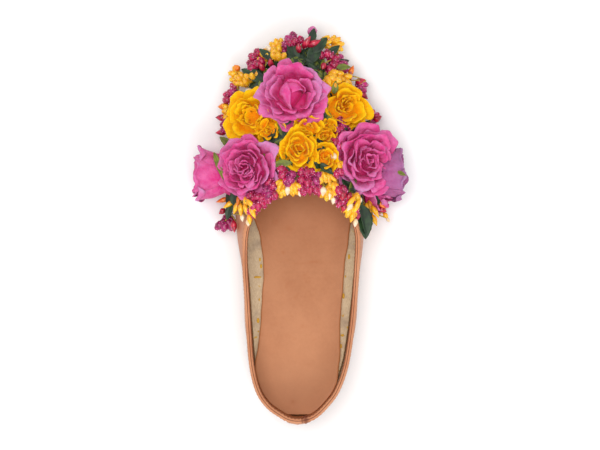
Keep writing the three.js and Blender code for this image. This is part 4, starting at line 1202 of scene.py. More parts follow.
SIDE_ROSE_PETALS = [
    (4, 1.06, 92, 0.98, 0.35, 0.2, 0.85), (62, 0.98, 84, 0.92, 0.4, 0.2, 0.55),
    (118, 1.0, 88, 0.9, 0.4, 0.3, 0.4), (176, 1.04, 100, 0.98, 0.3, 0.2, 0.3),
    (236, 1.0, 84, 0.94, 0.4, 0.2, 0.5), (300, 1.0, 88, 0.98, 0.4, 0.2, 0.75),
    (32, 0.78, 104, 1.02, 0.5, 0.2, 0.2), (104, 0.74, 100, 0.98, 0.5, 0.2, 0.1),
    (176, 0.78, 104, 1.0, 0.5, 0.2, 0.05), (250, 0.74, 100, 1.0, 0.5, 0.2, 0.25),
    (322, 0.76, 100, 1.04, 0.5, 0.2, 0.3),
]
YELLOW_PETALS = [
    (10, 1.08, 76, 0.44, 0.5, 0.0, 0.5), (62, 0.98, 78, 0.4, 0.6, 0.2, 0.6),
    (118, 1.08, 78, 0.38, 0.5, 0.1, 0.3), (176, 1.1, 82, 0.34, 0.6, 0.1, 0.5),
    (240, 1.12, 84, 0.4, 0.5, 0.1, 0.5), (304, 1.1, 80, 0.46, 0.6, 0.1, 0.3),
    (34, 0.78, 104, 0.68, 0.5, 0.0, 0.5), (122, 0.74, 100, 0.62, 0.6, 0.1, 0.3),
    (208, 0.78, 104, 0.6, 0.6, 0.2, 0.6), (296, 0.8, 104, 0.72, 0.4, 0.0, 0.4),
    (80, 0.54, 96, 0.86, 0.6, 0.3, 0.4), (196, 0.5, 96, 0.8, 0.7, 0.6, 0.2),
    (318, 0.54, 96, 0.92, 0.5, 0.2, 0.3), (30, 0.32, 110, 0.94, 0.4, 0.2, 0.2),
    (215, 0.2, 120, 0.92, 0.2, 0.6, 0.3), (262, 0.36, 90, 0.9, 0.5, 0.5, 0.1),
]
SMALL_PETALS = [
    (20, 1.12, 84, 0.5, 0.5, 0.0, 0.5), (88, 1.06, 80, 0.44, 0.5, 0.1, 0.4),
    (156, 1.14, 84, 0.42, 0.6, 0.1, 0.6), (226, 1.06, 84, 0.44, 0.5, 0.1, 0.3),
    (298, 1.1, 84, 0.5, 0.6, 0.0, 0.5), (54, 0.7, 96, 0.78, 0.7, 0.1, 0.3),
    (170, 0.66, 92, 0.7, 0.7, 0.4, 0.5), (280, 0.7, 96, 0.8, 0.6, 0.2, 0.2),
    (10, 0.34, 110, 0.92, 0.4, 0.3, 0.2), (200, 0.26, 120, 0.88, 0.2, 0.6, 0.3),
]

# Sheets of the closed hearts: heading, radius, spread, lowest and highest height,
# heading of the drawn-out point, pull to it, tone, depth of colour
TEAR_HEART = [
    (75, 0.34, 430, 0.4, 1.0, 180, 0.3, 0.0, 0.8), (262, 0.39, 176, 0.3, 1.08, 180, 0.34, 0.35, 0.0),
    (24, 0.42, 110, 0.3, 1.0, 180, 0.3, 0.05, 0.15),
]
# Wound hearts: turns, radius, height, corners, pull to the corners, heading of a corner
ZIGZAG_HEART = (1.3, 0.30, 1.0, 3, 0.24, 200)
SQUARE_HEART = (1.4, 0.28, 1.0, 4, 0.14, 45)

# name, at, across, wide, long, tall, lean, lift, cup, petals, wraps, roll, turn of the whole bloom
ROSES = [
    ("rose_centre", 0.874, -0.11, 0.94, 0.95, 1.0, 0.45, 0.1, 0.0, ROSE_CENTRE_PETALS, TEAR_HEART, None, 0),
    ("rose_left", 0.68, -0.73, 0.84, 0.88, 1.0, 0.5, 0.08, 0.1, ROSE_LEFT_PETALS, [], ZIGZAG_HEART, 0),
    ("rose_right", 0.696, 0.88, 0.95, 0.98, 1.0, 0.35, 0.35, 0.1, ROSE_RIGHT_PETALS, [], SQUARE_HEART, 0),
    ("rose_left_side", 0.672, -1.1, 0.8, 1.04, 1.22, 1.1, 0.45, 1.0, SIDE_ROSE_PETALS, [], ZIGZAG_HEART, 0),
    ("rose_right_side", 0.672, 1.1, 0.72, 0.92, 1.22, 1.1, 0.45, 1.0, SIDE_ROSE_PETALS, [], SQUARE_HEART, 34),
]
SMALL_ROSES = [
    ("yellow_left", 0.808, -0.64, 1.05, 1.02, 1.15, 0.55, 0.0, 0.1, YELLOW_PETALS, [], None, 0),
    ("yellow_right", 0.836, 0.59, 1.0, 0.86, 1.15, 0.35, 0.0, 0.1, YELLOW_PETALS, [], None, 70),
    ("yellow_centre", 0.724, -0.026, 0.68, 0.84, 1.0, 0.45, 0.0, 0.1, YELLOW_PETALS, [], None, 140),
    ("yellow_centre_small", 0.704, 0.365, 0.54, 0.6, 0.9, 0.45, 0.0, 0.1, SMALL_PETALS, [], None, 220),
    ("yellow_upper", 0.779, 0.11, 0.58, 0.48, 0.95, 0.45, 0.0, 0.1, SMALL_PETALS, [], None, 30),
]
# Second, smaller blooms on the same wire: host, at, across, wide, long, tall, lean, turn
TWIN_BLOOMS = [
    ("yellow_left", 0.784, -0.45, 0.56, 0.6, 0.75, 0.45, 40),
    ("yellow_upper", 0.785, 0.41, 0.36, 0.4, 0.8, 0.45, 10),
    ("yellow_centre_small", 0.76, 0.34, 0.36, 0.34, 0.9, 0.45, 70),
    ("yellow_centre", 0.716, -0.25, 0.32, 0.44, 0.55, 0.45, 120),
    ("rose_right_side", 0.616, 1.26, 0.56, 0.6, 1.0, 0.85, 20),
]
# Sepals that lie over a rose: host, first end x and y, second end x and y, width
SEPALS = [
    ("rose_left_side", -57.6, 181.4, -51.0, 162.4, 4.2),
    ("rose_right_side", 58.6, 181.4, 63.8, 184.2, 3.2), ("rose_right_side", 65.0, 168.0, 70.6, 165.2, 3.0),
]
SEPAL_PROUD = 0.5

# How many pinched petals fill a heart, and how many fewer fill the plain heart of a
# bloom whose half width is larger than the smallest
CRUMPLED_PETALS = 7
FEWER_CRUMPLED = 3
SMALLEST_CRUMPLED = 9.0


def fill_bloom(shape, seat, sizes, cup, petals, wraps, roll, turn, rng):
    add_foot(shape, seat, sizes)
    for petal in petals:
        add_petal(shape, seat, sizes, (petal[0] + turn, *petal[1:]), cup, rng)
    for wrap in wraps:
        add_wrap(shape, seat, sizes, wrap, rng)
    if not wraps:
        plain = not roll and sizes[0] >= SMALLEST_CRUMPLED
        add_crumple(shape, seat, sizes, CRUMPLED_PETALS - FEWER_CRUMPLED * plain, cup, rng)
    if roll:
        add_roll(shape, seat, sizes, roll, rng)


def add_sepal(shape, start, end, width, rng):
    """An olive sepal laid over a bloom from one point in plan to another."""
    middle = top_near(shape, (start[0] + end[0]) / 2, (start[1] + end[1]) / 2)
    start = top_near(shape, *start)
    end = top_near(shape, *end)
    middle[2] = max(middle[2], (start[2] + end[2]) / 2)
    add_leaf(shape, middle, unit(end - start), UP, np.linalg.norm(end - start), width, rng, 1)


def build_bloom(row, diameter, height, material, seed):
    """A bloom with the twins on its wire, which take the last material, and its sepals."""
    name, at, across, wide, long, tall, lean, lift, cup, petals, wraps, roll, turn = row
    rng = np.random.default_rng(seed)
    shape = Shape()
    sizes = (wide * diameter / 2, long * diameter / 2, tall * height)
    fill_bloom(shape, Seat(at, across, lean, lift * height), sizes, cup, petals, wraps, roll, turn, rng)
    for host, at, across, wide, long, tall, lean, turn in TWIN_BLOOMS:
        if host == name:
            sizes = (wide * diameter / 2, long * diameter / 2, tall * height)
            start = len(shape.faces)
            fill_bloom(shape, Seat(at, across, lean, 0.0), sizes, 0.1, SMALL_PETALS, [], None, turn, rng)
            shape.finish[start:] = [2] * (len(shape.faces) - start)
    for host, start_x, start_y, end_x, end_y, width in SEPALS:
        if host == name:
            add_sepal(shape, (start_x, start_y), (end_x, end_y), width, rng)
    twin = ROSE if material is PALE_ROSE else material
    make_piece(f"{name}_petals", shape, [material, OLIVE_LEAF, twin], [name], thickness=PETAL_THICKNESS)


def top_near(shape, x, y):
    """The place just over the highest point of a shape near a point in plan."""
    points = np.concatenate(shape.points)
    near = points[np.hypot(points[:, 0] - x, points[:, 1] - y) < 2.5]
    height = near[:, 2].max() if len(near) else points[:, 2].mean()
    return np.array([x, y, height + SEPAL_PROUD])


# Leaves

# name, at, across, heading, length share, lean
LEAVES = [
    ("leaf_toe_right", 1.0, 0.2, 22, 1.0, 0.6), ("leaf_toe_left", 0.985, -0.18, -25, 0.9, 0.6),
    ("leaf_left", 0.936, -0.67, -70, 1.1, 0.6), ("leaf_left_low", 0.61, -0.95, -140, 0.9, 0.8),
    ("leaf_right_low", 0.545, 0.88, 176, 1.0, 0.9), ("leaf_right_side", 0.6, 1.08, 120, 0.9, 0.8),
]
LEAF_THICKNESS = 0.4
LEAF_GAP = 0.6
SMALL_LEAF_LENGTH = 15.0
# The first seed of each kind of trimming
ROSE_SEED = 10
UNDER_LEAF_SEED = 21
SMALL_ROSE_SEED = 30
SPRAY_SEED = 50
LEAF_SEED = 70


def add_leaf(shape, middle, along, up, length, width, rng, finish=0):
    """A cloth leaf: pointed, toothed, hollowed along its midrib, with raised side veins."""
    across = unit(np.cross(along, up))
    up = np.cross(across, along)
    rows, columns = (21, 9) if length > SMALL_LEAF_LENGTH else (13, 7)
    t, s = grid(rows, columns)
    half = np.sin(np.pi * t ** 0.85) ** 0.75 * (1 - 0.25 * t)
    teeth = 1 + 0.05 * np.sin(t * 44) * (np.abs(s) > 0.9)
    out = s * half * teeth * width / 2
    vein = np.abs(np.sin((t * 7 - np.abs(s) * 1.4) * np.pi))
    rise = 0.16 * width * np.abs(s) ** 1.3 * half - 0.05 * length * (2 * t - 1) ** 2 + 0.12 * (1 - vein)
    rise = rise + 0.3 * np.sin(6 * t + rng.uniform(0, 6)) * s
    points = middle + along * ((t - 0.5) * length)[..., None] + across * out[..., None] + up * rise[..., None]
    fold = np.clip(0.9 * bell(s, 0.09) + 0.4 * (vein < 0.15), 0, 1)
    shape.add(clear_of_upper(points, LEAF_GAP), grid_faces(rows, columns), finish, fold=fold)


def build_leaves():
    for number, (name, at, across, heading, long, lean) in enumerate(LEAVES):
        seat = Seat(at, across, lean, 0.0)
        along = unit(laid(toward(heading), seat.axis) + seat.axis * 0.25)
        shape = Shape()
        add_leaf(shape, seat.point + seat.axis * 2.2, along, seat.axis, long * LEAF_LENGTH * 0.98, LEAF_WIDTH,
                 np.random.default_rng(LEAF_SEED + number))
        make_piece(f"{name}_blade", shape, [DARK_LEAF], [name], thickness=LEAF_THICKNESS)


UNDER_LEAF_COUNT = 330
UNDER_LEAF_WIDTH = 6.5
# The part of the vamp that they cover: from and to along the shoe, and its half
# width, which narrows towards the toe
UNDER_LEAF_FROM = 158.0
UNDER_LEAF_TO = 251.0
UNDER_LEAF_HALF = 42.0
OLIVE_SHARE = 0.3
# The share of a bloom's radius inside which no leaf is laid under it
BLOOM_COVER = 0.72
# The arch at the throat that stays free of leaves
THROAT_Y = 152.0
THROAT_DEPTH = 14.0
THROAT_HALF = 34.0
# Leaves that show: x, y, heading, length, width, height above the face, 1 for olive
SHOWN_LEAVES = [
    (8.0, 258.0, 14, 11, 6, 4.0, 0), (28.0, 198.0, 60, 10, 5, 4.0, 1), (4.0, 168.0, 90, 12, 6, 3.5, 0),
    (-44.0, 216.0, -95, 11, 6, 1.0, 0), (22.0, 249.0, 50, 12, 6, 1.5, 0), (28.0, 241.0, 66, 11, 6, 1.0, 0),
    (-47.0, 203.0, -90, 10, 5, 1.0, 0), (46.0, 200.0, 90, 10, 5, 1.0, 0),
    (38.0, 147.0, 200, 12, 6, 3.5, 0), (-34.0, 149.0, 170, 12, 6, 3.5, 0),
    (-4.5, 248.0, -20, 17, 9, 4.5, 0), (9.0, 247.0, 24, 18, 10, 4.5, 0), (13.0, 252.0, 40, 15, 8, 3.5, 0),
    (-30.0, 232.0, -62, 19, 9, 4.5, 0), (26.5, 236.0, 84, 10, 5, 8.0, 1), (21.0, 222.5, 10, 9, 5, 9.0, 1),
    (-11.5, 195.5, -30, 12, 6, 3.0, 1), (-9.0, 200.5, 70, 11, 5, 3.5, 0), (8.0, 207.0, 80, 10, 5, 4.0, 0),
    (-10.5, 172.5, 84, 13, 6, 5.5, 1), (17.0, 169.0, 130, 12, 5, 5.5, 0),
    (-41.0, 152.0, 20, 14, 8, 5.0, 0), (-46.0, 141.0, 200, 11, 6, 3.0, 0),
    (41.0, 134.5, 172, 24, 14, 3.2, 0), (48.0, 152.0, 150, 15, 7, 5.0, 0),
    (-48.0, 188.0, -60, 13, 6, 3.0, 1), (-22.0, 246.0, -50, 13, 6, 3.0, 0),
]
# The plan of each bloom: middle x and y, half width, half length
BLOOM_DISCS = [
    (row[2] * HALF_BALL, row[1] * SHOE_LENGTH, row[3] * diameter / 2, row[4] * diameter / 2)
    for rows, diameter in ((ROSES, ROSE_DIAMETER), (SMALL_ROSES, SMALL_ROSE_DIAMETER)) for row in rows
]


def free_for_a_leaf(x, y):
    """Whether a place is neither under a bloom nor at the throat."""
    if abs(x) < THROAT_HALF and y - THROAT_Y < THROAT_DEPTH * (1 - (abs(x) / THROAT_HALF) ** 2):
        return False
    return all(math.hypot((x - middle_x) / wide, (y - middle_y) / long) >= BLOOM_COVER
               for middle_x, middle_y, wide, long in BLOOM_DISCS)


def build_under_leaves():
    """Small leaves wired flat to the vamp, which fill what shows between the blooms; their dark green is the
    leaves' own and also painted shade for the gaps.
    """
    rng = np.random.default_rng(UNDER_LEAF_SEED)
    shape = Shape()
    for _ in range(UNDER_LEAF_COUNT):
        y = rng.uniform(UNDER_LEAF_FROM, UNDER_LEAF_TO)
        half = UNDER_LEAF_HALF * (1 - smooth(205.0, 268.0, y) * 0.75)
        x = rng.uniform(-half, half)
        if free_for_a_leaf(x, y):
            point, normal = seat_near(x, y)
            axis = unit(lerp(UP, normal, 0.7))
            along = laid(toward(rng.uniform(0, 360)), axis, rng.uniform(0.0, 0.35))
            olive = int(rng.uniform() < OLIVE_SHARE)
            middle = point + axis * rng.uniform(1.5, 3.2)
            add_leaf(shape, middle, along, axis, rng.uniform(10, 15), UNDER_LEAF_WIDTH, rng, olive)
    for x, y, heading, length, width, height, olive in SHOWN_LEAVES:
        point, normal = seat_near(x, y)
        axis = unit(lerp(UP, normal, 0.4))
        middle = np.array([x, y, point[2]]) + axis * height
        add_leaf(shape, middle, laid(toward(heading), axis, 0.1), axis, length, width, rng, olive)
    make_piece("under_leaves", shape, [DARK_LEAF, OLIVE_LEAF], thickness=LEAF_THICKNESS)


# Sprays of buds

def grain_points(count, rng):
    """Directions spread evenly over a ball, shaken a little."""
    i = np.arange(count) + 0.5
    polar = np.arccos(1 - 2 * i / count)
    turn = np.pi * (1 + 5 ** 0.5) * i
    ball = np.stack([np.cos(turn) * np.sin(polar), np.sin(turn) * np.sin(polar), np.cos(polar)], axis=1)
    return unit(ball + rng.normal(0, 0.12, ball.shape))


def bud_frame(direction):
    """Two directions across a bud's own, the first of them level."""
    side = np.cross(direction, UP)
    if np.linalg.norm(side) < 0.1:
        side = np.array([1.0, 0.0, 0.0])
    side = unit(side)
    return side, np.cross(side, direction)


def ring_points(centre, along, radius, angle, direction):
    """Points round an axis through centre, at a distance along it."""
    side, up = bud_frame(direction)
    return (centre + direction * along[..., None] + side * (radius * np.cos(angle))[..., None]
            + up * (radius * np.sin(angle))[..., None])


def add_bud(shape, centre, direction, length, width, pointed, bumps, finish):
    """A bud: a drop on its axis, with lengthwise grooves or with mulberry bumps."""
    rows = 13
    columns = 15
    t, angle = round_grid(rows, columns)
    belly = np.sin(np.pi * t ** (0.80 if pointed else 0.92)) ** (0.95 if pointed else 0.62)
    groove = 1 - 0.07 * np.abs(np.sin(2.5 * angle + 1.0)) * (1 if pointed else 0.4)
    knobs = 1 + bumps * np.sin(5 * angle + 9 * t) * np.sin(17 * t) * np.sin(np.pi * t)
    points = ring_points(centre, (t - 0.5) * length, width / 2 * belly * groove * knobs, angle, direction)
    faces = grid_faces(rows, columns, wrap_columns=True)
    shape.add(points, faces, finish, fold=np.clip(0.9 - 2.2 * t, 0, 1))


GRAINS = 28
GRAIN_FACES = [(0, 1, 2), (0, 2, 3), (0, 3, 4), (0, 4, 1), (4, 3, 2, 1)]


def add_grains(shape, centre, direction, length, width, finish, rng):
    """Glitter: small grains that stand on a bud's face, their pale colour partly a painted glint."""
    side, up = bud_frame(direction)
    for way in grain_points(GRAINS, rng):
        round_way = side * way[0] + up * way[1]
        place = centre + direction * way[2] * length * 0.47 + round_way * width * 0.49
        normal = unit(direction * way[2] * 0.6 + round_way)
        size = rng.uniform(0.45, 1.15)
        first, second = bud_frame(normal)
        corners = [place + normal * size * 0.42]
        for turn in range(4):
            angle = turn * math.pi / 2 + way[0] * 3
            corners.append(place + (first * math.cos(angle) + second * math.sin(angle)) * size * 0.6)
        shape.add(np.array(corners), GRAIN_FACES, finish, fold=rng.uniform(0, 1))


WIRE_BOW = 0.6
WIRE_WIDTH = 0.8


def add_wire(shape, start, end, finish):
    """A stem: a thin tube that bows upwards between two points."""
    steps = 9
    sides = 6
    t = np.linspace(0, 1, steps)
    line = lerp(start, end, t[:, None]) + UP * (WIRE_BOW * np.sin(np.pi * t))[:, None]
    angle = 2 * np.pi * np.arange(sides) / sides
    rings = [ring_points(centre, angle * 0, WIRE_WIDTH / 2, angle, direction)
             for centre, direction in zip(line, unit(np.gradient(line, axis=0)))]
    shape.add(np.concatenate(rings), grid_faces(steps, sides, wrap_columns=True), finish)


# Buds of each spray: x and y on the shoe in millimetres, heading clockwise from the
# toe, length, width, tilt up from level, height above the seat and the kind.
# A kind with a star is rounded and glittered; the others are smooth and pointed.
SPRAYS = {
    "spray_toe": [
        (8.3, 262.4, 10, 7.6, 6.6, 10, 6, "pink*"), (4.4, 254.6, 32, 11.0, 4.8, 20, 10, "crimson"),
        (9.4, 254.2, 64, 11.0, 4.8, 12, 10, "crimson"), (-7.6, 257.0, -40, 7.0, 5.6, 15, 5, "violet*"),
        (-3.6, 255.2, -22, 6.6, 5.2, 30, 8, "magenta*"), (-0.8, 250.8, -4, 8.0, 4.4, 30, 9, "crimson"),
        (-9.4, 252.4, -62, 6.0, 4.6, 10, 4, "violet*"),
    ],
    "spray_toe_right": [
        (17.8, 254.8, 78, 7.0, 4.0, 14, 5, "gold*"), (24.6, 256.4, 50, 6.4, 4.4, 10, 4, "gold*"),
        (25.8, 251.4, 118, 7.2, 4.6, 8, 4, "gold*"), (18.4, 247.2, 8, 7.0, 5.6, 30, 7, "magenta*"),
        (24.0, 243.2, 60, 7.4, 6.0, 24, 6, "magenta*"), (29.0, 240.4, 78, 7.0, 5.8, 10, 5, "violet*"),
        (20.0, 236.6, 130, 6.6, 5.6, 34, 7, "magenta*"), (15.8, 238.8, 200, 6.0, 4.2, 34, 8, "crimson"),
        (27.6, 236.4, 96, 6.6, 4.6, 10, 5, "crimson"),
    ],
    "spray_right_far": [
        (34.6, 236.0, 22, 8.0, 4.2, 14, 5, "orange"), (33.6, 232.2, 10, 7.6, 4.0, 30, 6, "crimson"),
        (40.6, 229.2, 72, 7.4, 4.8, 6, 4, "crimson"), (41.4, 224.0, 122, 8.8, 5.0, 4, 4, "violet*"),
        (42.8, 219.8, 134, 8.4, 4.6, 2, 4, "magenta"), (21.6, 232.0, 100, 7.2, 5.2, 30, 10, "gold*"),
        (26.6, 230.2, 104, 7.4, 5.4, 22, 10, "gold*"), (31.6, 228.0, 112, 7.0, 5.2, 14, 9, "gold*"),
        (18.8, 228.6, 150, 6.6, 4.8, 30, 10, "gold*"), (23.0, 226.0, 140, 6.6, 4.8, 26, 10, "gold*"),
    ],
    "spray_right": [
        (52.0, 204.0, 62, 7.4, 5.4, 6, 5, "crimson"), (49.4, 197.4, 104, 7.2, 6.0, 8, 5, "violet*"),
        (46.6, 193.0, 150, 6.6, 5.4, 14, 6, "violet*"), (48.6, 207.6, 30, 6.0, 4.4, 20, 6, "magenta*"),
    ],
    "spray_toe_left": [
        (-15.4, 254.2, -18, 7.2, 5.0, 10, 4, "gold*"), (-17.0, 248.2, -34, 7.4, 5.2, 20, 6, "gold*"),
        (-14.4, 245.2, -4, 7.0, 5.0, 34, 8, "gold*"), (-23.6, 246.0, -62, 7.4, 5.0, 10, 4, "gold*"),
        (-21.0, 250.8, -50, 5.6, 4.2, 10, 4, "cream"), (-31.6, 245.2, -54, 7.4, 6.0, 8, 3, "magenta*"),
        (-28.4, 240.2, -40, 7.2, 5.8, 24, 6, "magenta*"), (-19.6, 241.0, -14, 7.4, 4.2, 36, 8, "crimson"),
        (-25.4, 238.2, -30, 7.4, 4.4, 34, 8, "crimson"),
    ],
    "spray_left_far": [
        (-42.4, 238.2, -48, 5.4, 4.4, 8, 4, "orange"), (-45.0, 234.0, -76, 6.6, 4.8, 8, 4, "gold*"),
        (-41.0, 230.8, -60, 6.8, 5.0, 18, 6, "gold*"), (-36.2, 228.4, -30, 6.6, 4.8, 30, 7, "gold*"),
        (-32.0, 231.6, -20, 6.4, 4.6, 34, 8, "gold*"), (-34.4, 222.4, -80, 5.6, 4.4, 26, 7, "cream"),
        (-46.0, 221.4, -84, 7.0, 5.8, 10, 4, "magenta*"), (-49.0, 216.4, -100, 6.8, 5.6, 8, 4, "magenta*"),
        (-44.4, 217.4, -92, 6.4, 5.4, 24, 6, "violet*"),
    ],
    "spray_left": [
        (-52.0, 212.0, -92, 7.0, 5.0, 6, 4, "orange"), (-49.4, 208.8, -96, 6.6, 4.8, 16, 5, "gold*"),
        (-53.2, 204.6, -88, 7.6, 5.0, 6, 4, "crimson"), (-53.0, 194.6, -94, 8.2, 4.6, 4, 4, "crimson"),
        (-50.8, 199.6, -90, 6.8, 5.4, 12, 5, "violet*"),
    ],
    "spray_left_low": [
        (-51.8, 149.0, -106, 10.4, 3.6, 2, 5, "orange"), (-47.4, 146.4, -124, 10.6, 3.8, 4, 6, "gold"),
        (-42.6, 144.0, -158, 10.4, 3.9, 4, 7, "gold"), (-39.4, 142.2, 178, 9.8, 3.8, 4, 8, "gold"),
        (-35.6, 142.0, 160, 10.0, 3.7, 4, 9, "gold"), (-32.2, 145.4, 142, 10.8, 3.7, 4, 9, "gold"),
        (-45.8, 144.8, -136, 4.6, 3.2, 6, 9, "cream"), (-38.4, 137.0, 176, 5.4, 3.4, 2, 6, "cream"),
        (-51.0, 131.2, 186, 8.0, 5.6, 2, 2, "violet*"), (-48.2, 134.0, 150, 6.4, 5.2, 2, 2, "violet*"),
        (-42.8, 131.6, 174, 8.8, 4.6, 2, 5, "crimson"), (-52.4, 141.4, -130, 5.6, 4.2, 2, 3, "crimson"),
        (-31.4, 140.6, 156, 9.4, 3.8, 2, 7, "gold"), (-36.0, 147.0, 170, 9.0, 3.8, 6, 9, "gold"),
        (-33.6, 136.0, 172, 7.6, 3.6, 0, 5, "gold"), (-41.0, 148.6, 190, 9.0, 3.6, 6, 9, "orange"),
        (-27.8, 144.6, 176, 7.4, 4.6, 2, 6, "magenta*"), (-30.6, 149.6, 190, 7.4, 4.8, 4, 6, "magenta*"),
    ],
    "spray_right_low": [
        (33.6, 147.4, 218, 10.6, 3.7, 4, 9, "gold"), (37.8, 144.6, 204, 11.0, 3.8, 4, 10, "gold"),
        (43.0, 141.8, 190, 11.2, 3.9, 4, 10, "gold"), (46.4, 138.8, 172, 10.8, 3.8, 4, 10, "gold"),
        (50.6, 141.2, 150, 10.2, 3.7, 4, 9, "gold"), (54.6, 146.0, 128, 9.2, 3.6, 4, 7, "orange"),
        (40.0, 148.4, 196, 5.0, 3.0, 8, 12, "cream"), (55.6, 142.6, 120, 6.6, 5.2, 4, 4, "crimson"),
        (47.0, 145.4, 176, 9.6, 3.8, 8, 12, "gold"), (50.2, 135.4, 160, 8.6, 3.6, 4, 7, "gold"),
        (57.8, 138.6, 140, 5.2, 3.4, 4, 4, "gold"), (59.4, 135.6, 140, 4.2, 2.6, 4, 4, "cream"),
        (32.6, 151.0, 200, 7.0, 4.2, 6, 7, "crimson"), (36.4, 149.6, 190, 6.6, 3.8, 6, 9, "gold*"),
        (33.0, 144.0, 216, 6.6, 3.8, 4, 7, "cream"), (36.6, 139.6, 196, 9.6, 3.8, 4, 6, "gold"),
    ],
    "spray_throat_left": [
        (-25.6, 149.6, 200, 8.0, 4.8, 4, 5, "magenta*"), (-20.6, 152.6, 214, 8.0, 4.8, 10, 6, "violet*"),
        (-16.4, 152.2, 160, 7.6, 4.4, 6, 5, "magenta"), (-17.6, 158.4, 200, 7.0, 4.8, 10, 6, "magenta*"),
        (-11.6, 165.2, 240, 7.0, 5.6, 24, 7, "magenta*"), (-6.4, 162.4, 120, 6.8, 5.6, 24, 7, "violet*"),
        (-13.0, 158.6, 204, 7.6, 4.0, 6, 5, "gold*"), (-8.0, 155.0, 186, 6.6, 4.6, 4, 5, "cream"),
        (-3.2, 156.4, 158, 8.0, 3.8, 4, 5, "gold*"), (-0.4, 153.2, 164, 5.6, 3.2, 2, 4, "cream"),
        (-28.6, 146.0, 190, 6.0, 4.4, 2, 4, "magenta*"), (-22.6, 149.2, 196, 6.0, 4.4, 2, 4, "magenta*"),
        (-18.0, 151.4, 186, 5.6, 4.2, 2, 4, "magenta*"), (-12.4, 153.0, 182, 6.0, 4.0, 2, 4, "gold*"),
        (-4.4, 153.8, 184, 5.6, 4.0, 2, 4, "gold*"), (-31.0, 139.6, 176, 6.4, 4.2, 2, 4, "magenta*"),
        (-33.6, 133.6, 180, 5.4, 3.6, 2, 4, "cream"),
    ],
    "spray_throat_right": [
        (5.0, 160.4, 190, 7.4, 5.6, 14, 6, "magenta*"), (7.2, 155.6, 178, 7.4, 4.2, 4, 5, "magenta"),
        (10.6, 161.4, 150, 7.0, 5.8, 18, 6, "violet*"), (14.2, 163.0, 188, 7.6, 4.2, 14, 6, "gold*"),
        (15.4, 154.6, 184, 6.6, 4.6, 4, 5, "cream"), (19.0, 163.0, 168, 8.2, 4.0, 14, 6, "gold*"),
        (19.6, 151.6, 180, 5.6, 3.4, 2, 4, "cream"), (22.4, 157.2, 172, 7.2, 4.0, 6, 5, "gold*"),
        (25.6, 155.0, 160, 7.4, 5.0, 8, 6, "magenta*"), (28.4, 151.6, 190, 8.0, 4.8, 4, 6, "crimson"),
        (1.6, 155.4, 184, 7.6, 4.6, 4, 5, "magenta*"), (10.4, 155.6, 176, 7.0, 4.6, 4, 5, "magenta*"),
        (24.4, 166.0, 176, 7.0, 4.6, 14, 8, "magenta*"), (26.0, 171.6, 170, 6.6, 4.6, 16, 8, "gold*"),
        (23.0, 151.8, 176, 6.4, 4.4, 2, 4, "gold*"), (31.6, 147.0, 190, 6.4, 4.4, 2, 4, "magenta*"),
        (35.0, 142.6, 186, 7.0, 4.6, 2, 4, "magenta*"), (12.6, 153.4, 180, 6.0, 4.0, 2, 4, "magenta"),
        (2.6, 153.8, 180, 5.6, 4.2, 2, 4, "magenta*"), (17.6, 153.0, 178, 6.0, 4.0, 2, 4, "gold*"),
        (27.4, 149.4, 184, 6.4, 4.4, 2, 4, "crimson"), (37.4, 138.0, 184, 6.4, 4.4, 2, 4, "magenta"),
        (17.6, 150.8, 180, 5.8, 4.2, 2, 4, "gold*"), (22.0, 148.4, 190, 6.0, 4.0, 2, 4, "cream"),
        (25.4, 146.2, 196, 6.4, 4.6, 2, 4, "magenta*"), (28.8, 143.4, 200, 7.0, 4.6, 2, 4, "crimson"),
        (31.6, 140.4, 200, 7.4, 4.8, 2, 4, "gold*"), (34.0, 137.2, 196, 8.0, 4.0, 2, 4, "gold"),
        (6.6, 154.0, 180, 5.8, 4.2, 2, 4, "crimson"), (35.8, 133.4, 188, 6.0, 3.6, 2, 4, "cream"),
    ],
    "spray_inner": [
        (25.2, 195.0, 20, 7.0, 5.8, 30, 7, "magenta*"), (28.8, 189.4, 70, 6.8, 5.6, 26, 7, "violet*"),
        (23.8, 187.6, 200, 6.8, 5.6, 34, 8, "magenta*"), (22.4, 177.6, 190, 6.2, 4.8, 20, 7, "cream"),
        (12.2, 204.6, 40, 5.4, 4.2, 30, 8, "cream"), (30.4, 183.4, 120, 6.2, 5.0, 20, 6, "magenta*"),
        (28.4, 198.6, 60, 6.6, 5.0, 26, 6, "violet*"), (4.6, 166.8, 190, 6.8, 5.2, 20, 6, "magenta*"),
    ],
}
STEM_REACH = 7.0
# A gold glittered bud is longer and slimmer than its row says
GOLD_STRETCH = 1.1
GOLD_SLIM = 0.92
BUD_GAP = 0.4


def stem_root(root, heel):
    """Where a bud's wire starts: towards the spray's root, down on the face."""
    way = root[:2] - heel[:2]
    x, y = heel[:2] + way * min(1.0, STEM_REACH / max(np.linalg.norm(way), 1e-6))
    return np.array([x, y, min(seat_near(x, y)[0][2] + 0.6, heel[2])])


def knot_of(direction, width, kind, rng):
    """The buds of one knot, each a shift and a direction: a glittered bud has three more round it."""
    knot = [(np.zeros(3), direction)]
    if kind.endswith("*") and kind != "pink*":
        side, up = bud_frame(direction)
        down = -up * np.sign(up[2])
        for sign in (-1, 1):
            swing = side * sign * rng.uniform(0.50, 0.80) - direction * rng.uniform(0.0, 0.45)
            shift = (swing + down * rng.uniform(0.15, 0.5)) * width
            knot.append((shift, unit(direction + side * sign * rng.uniform(0.2, 0.9))))
        under = down * width * 0.75 - direction * width * rng.uniform(0.3, 0.8)
        knot.append((under, unit(direction + side * rng.uniform(-0.8, 0.8))))
    return knot


def spray_root(name):
    """The middle of a spray's solid in plan, on the ground."""
    low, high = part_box(name)
    x = (low[0] + high[0]) / 2 * 1000.0
    y = (low[1] + high[1]) / 2 * 1000.0 + HEEL_REST_FROM_BACK
    return np.array([x, y, 0.0])


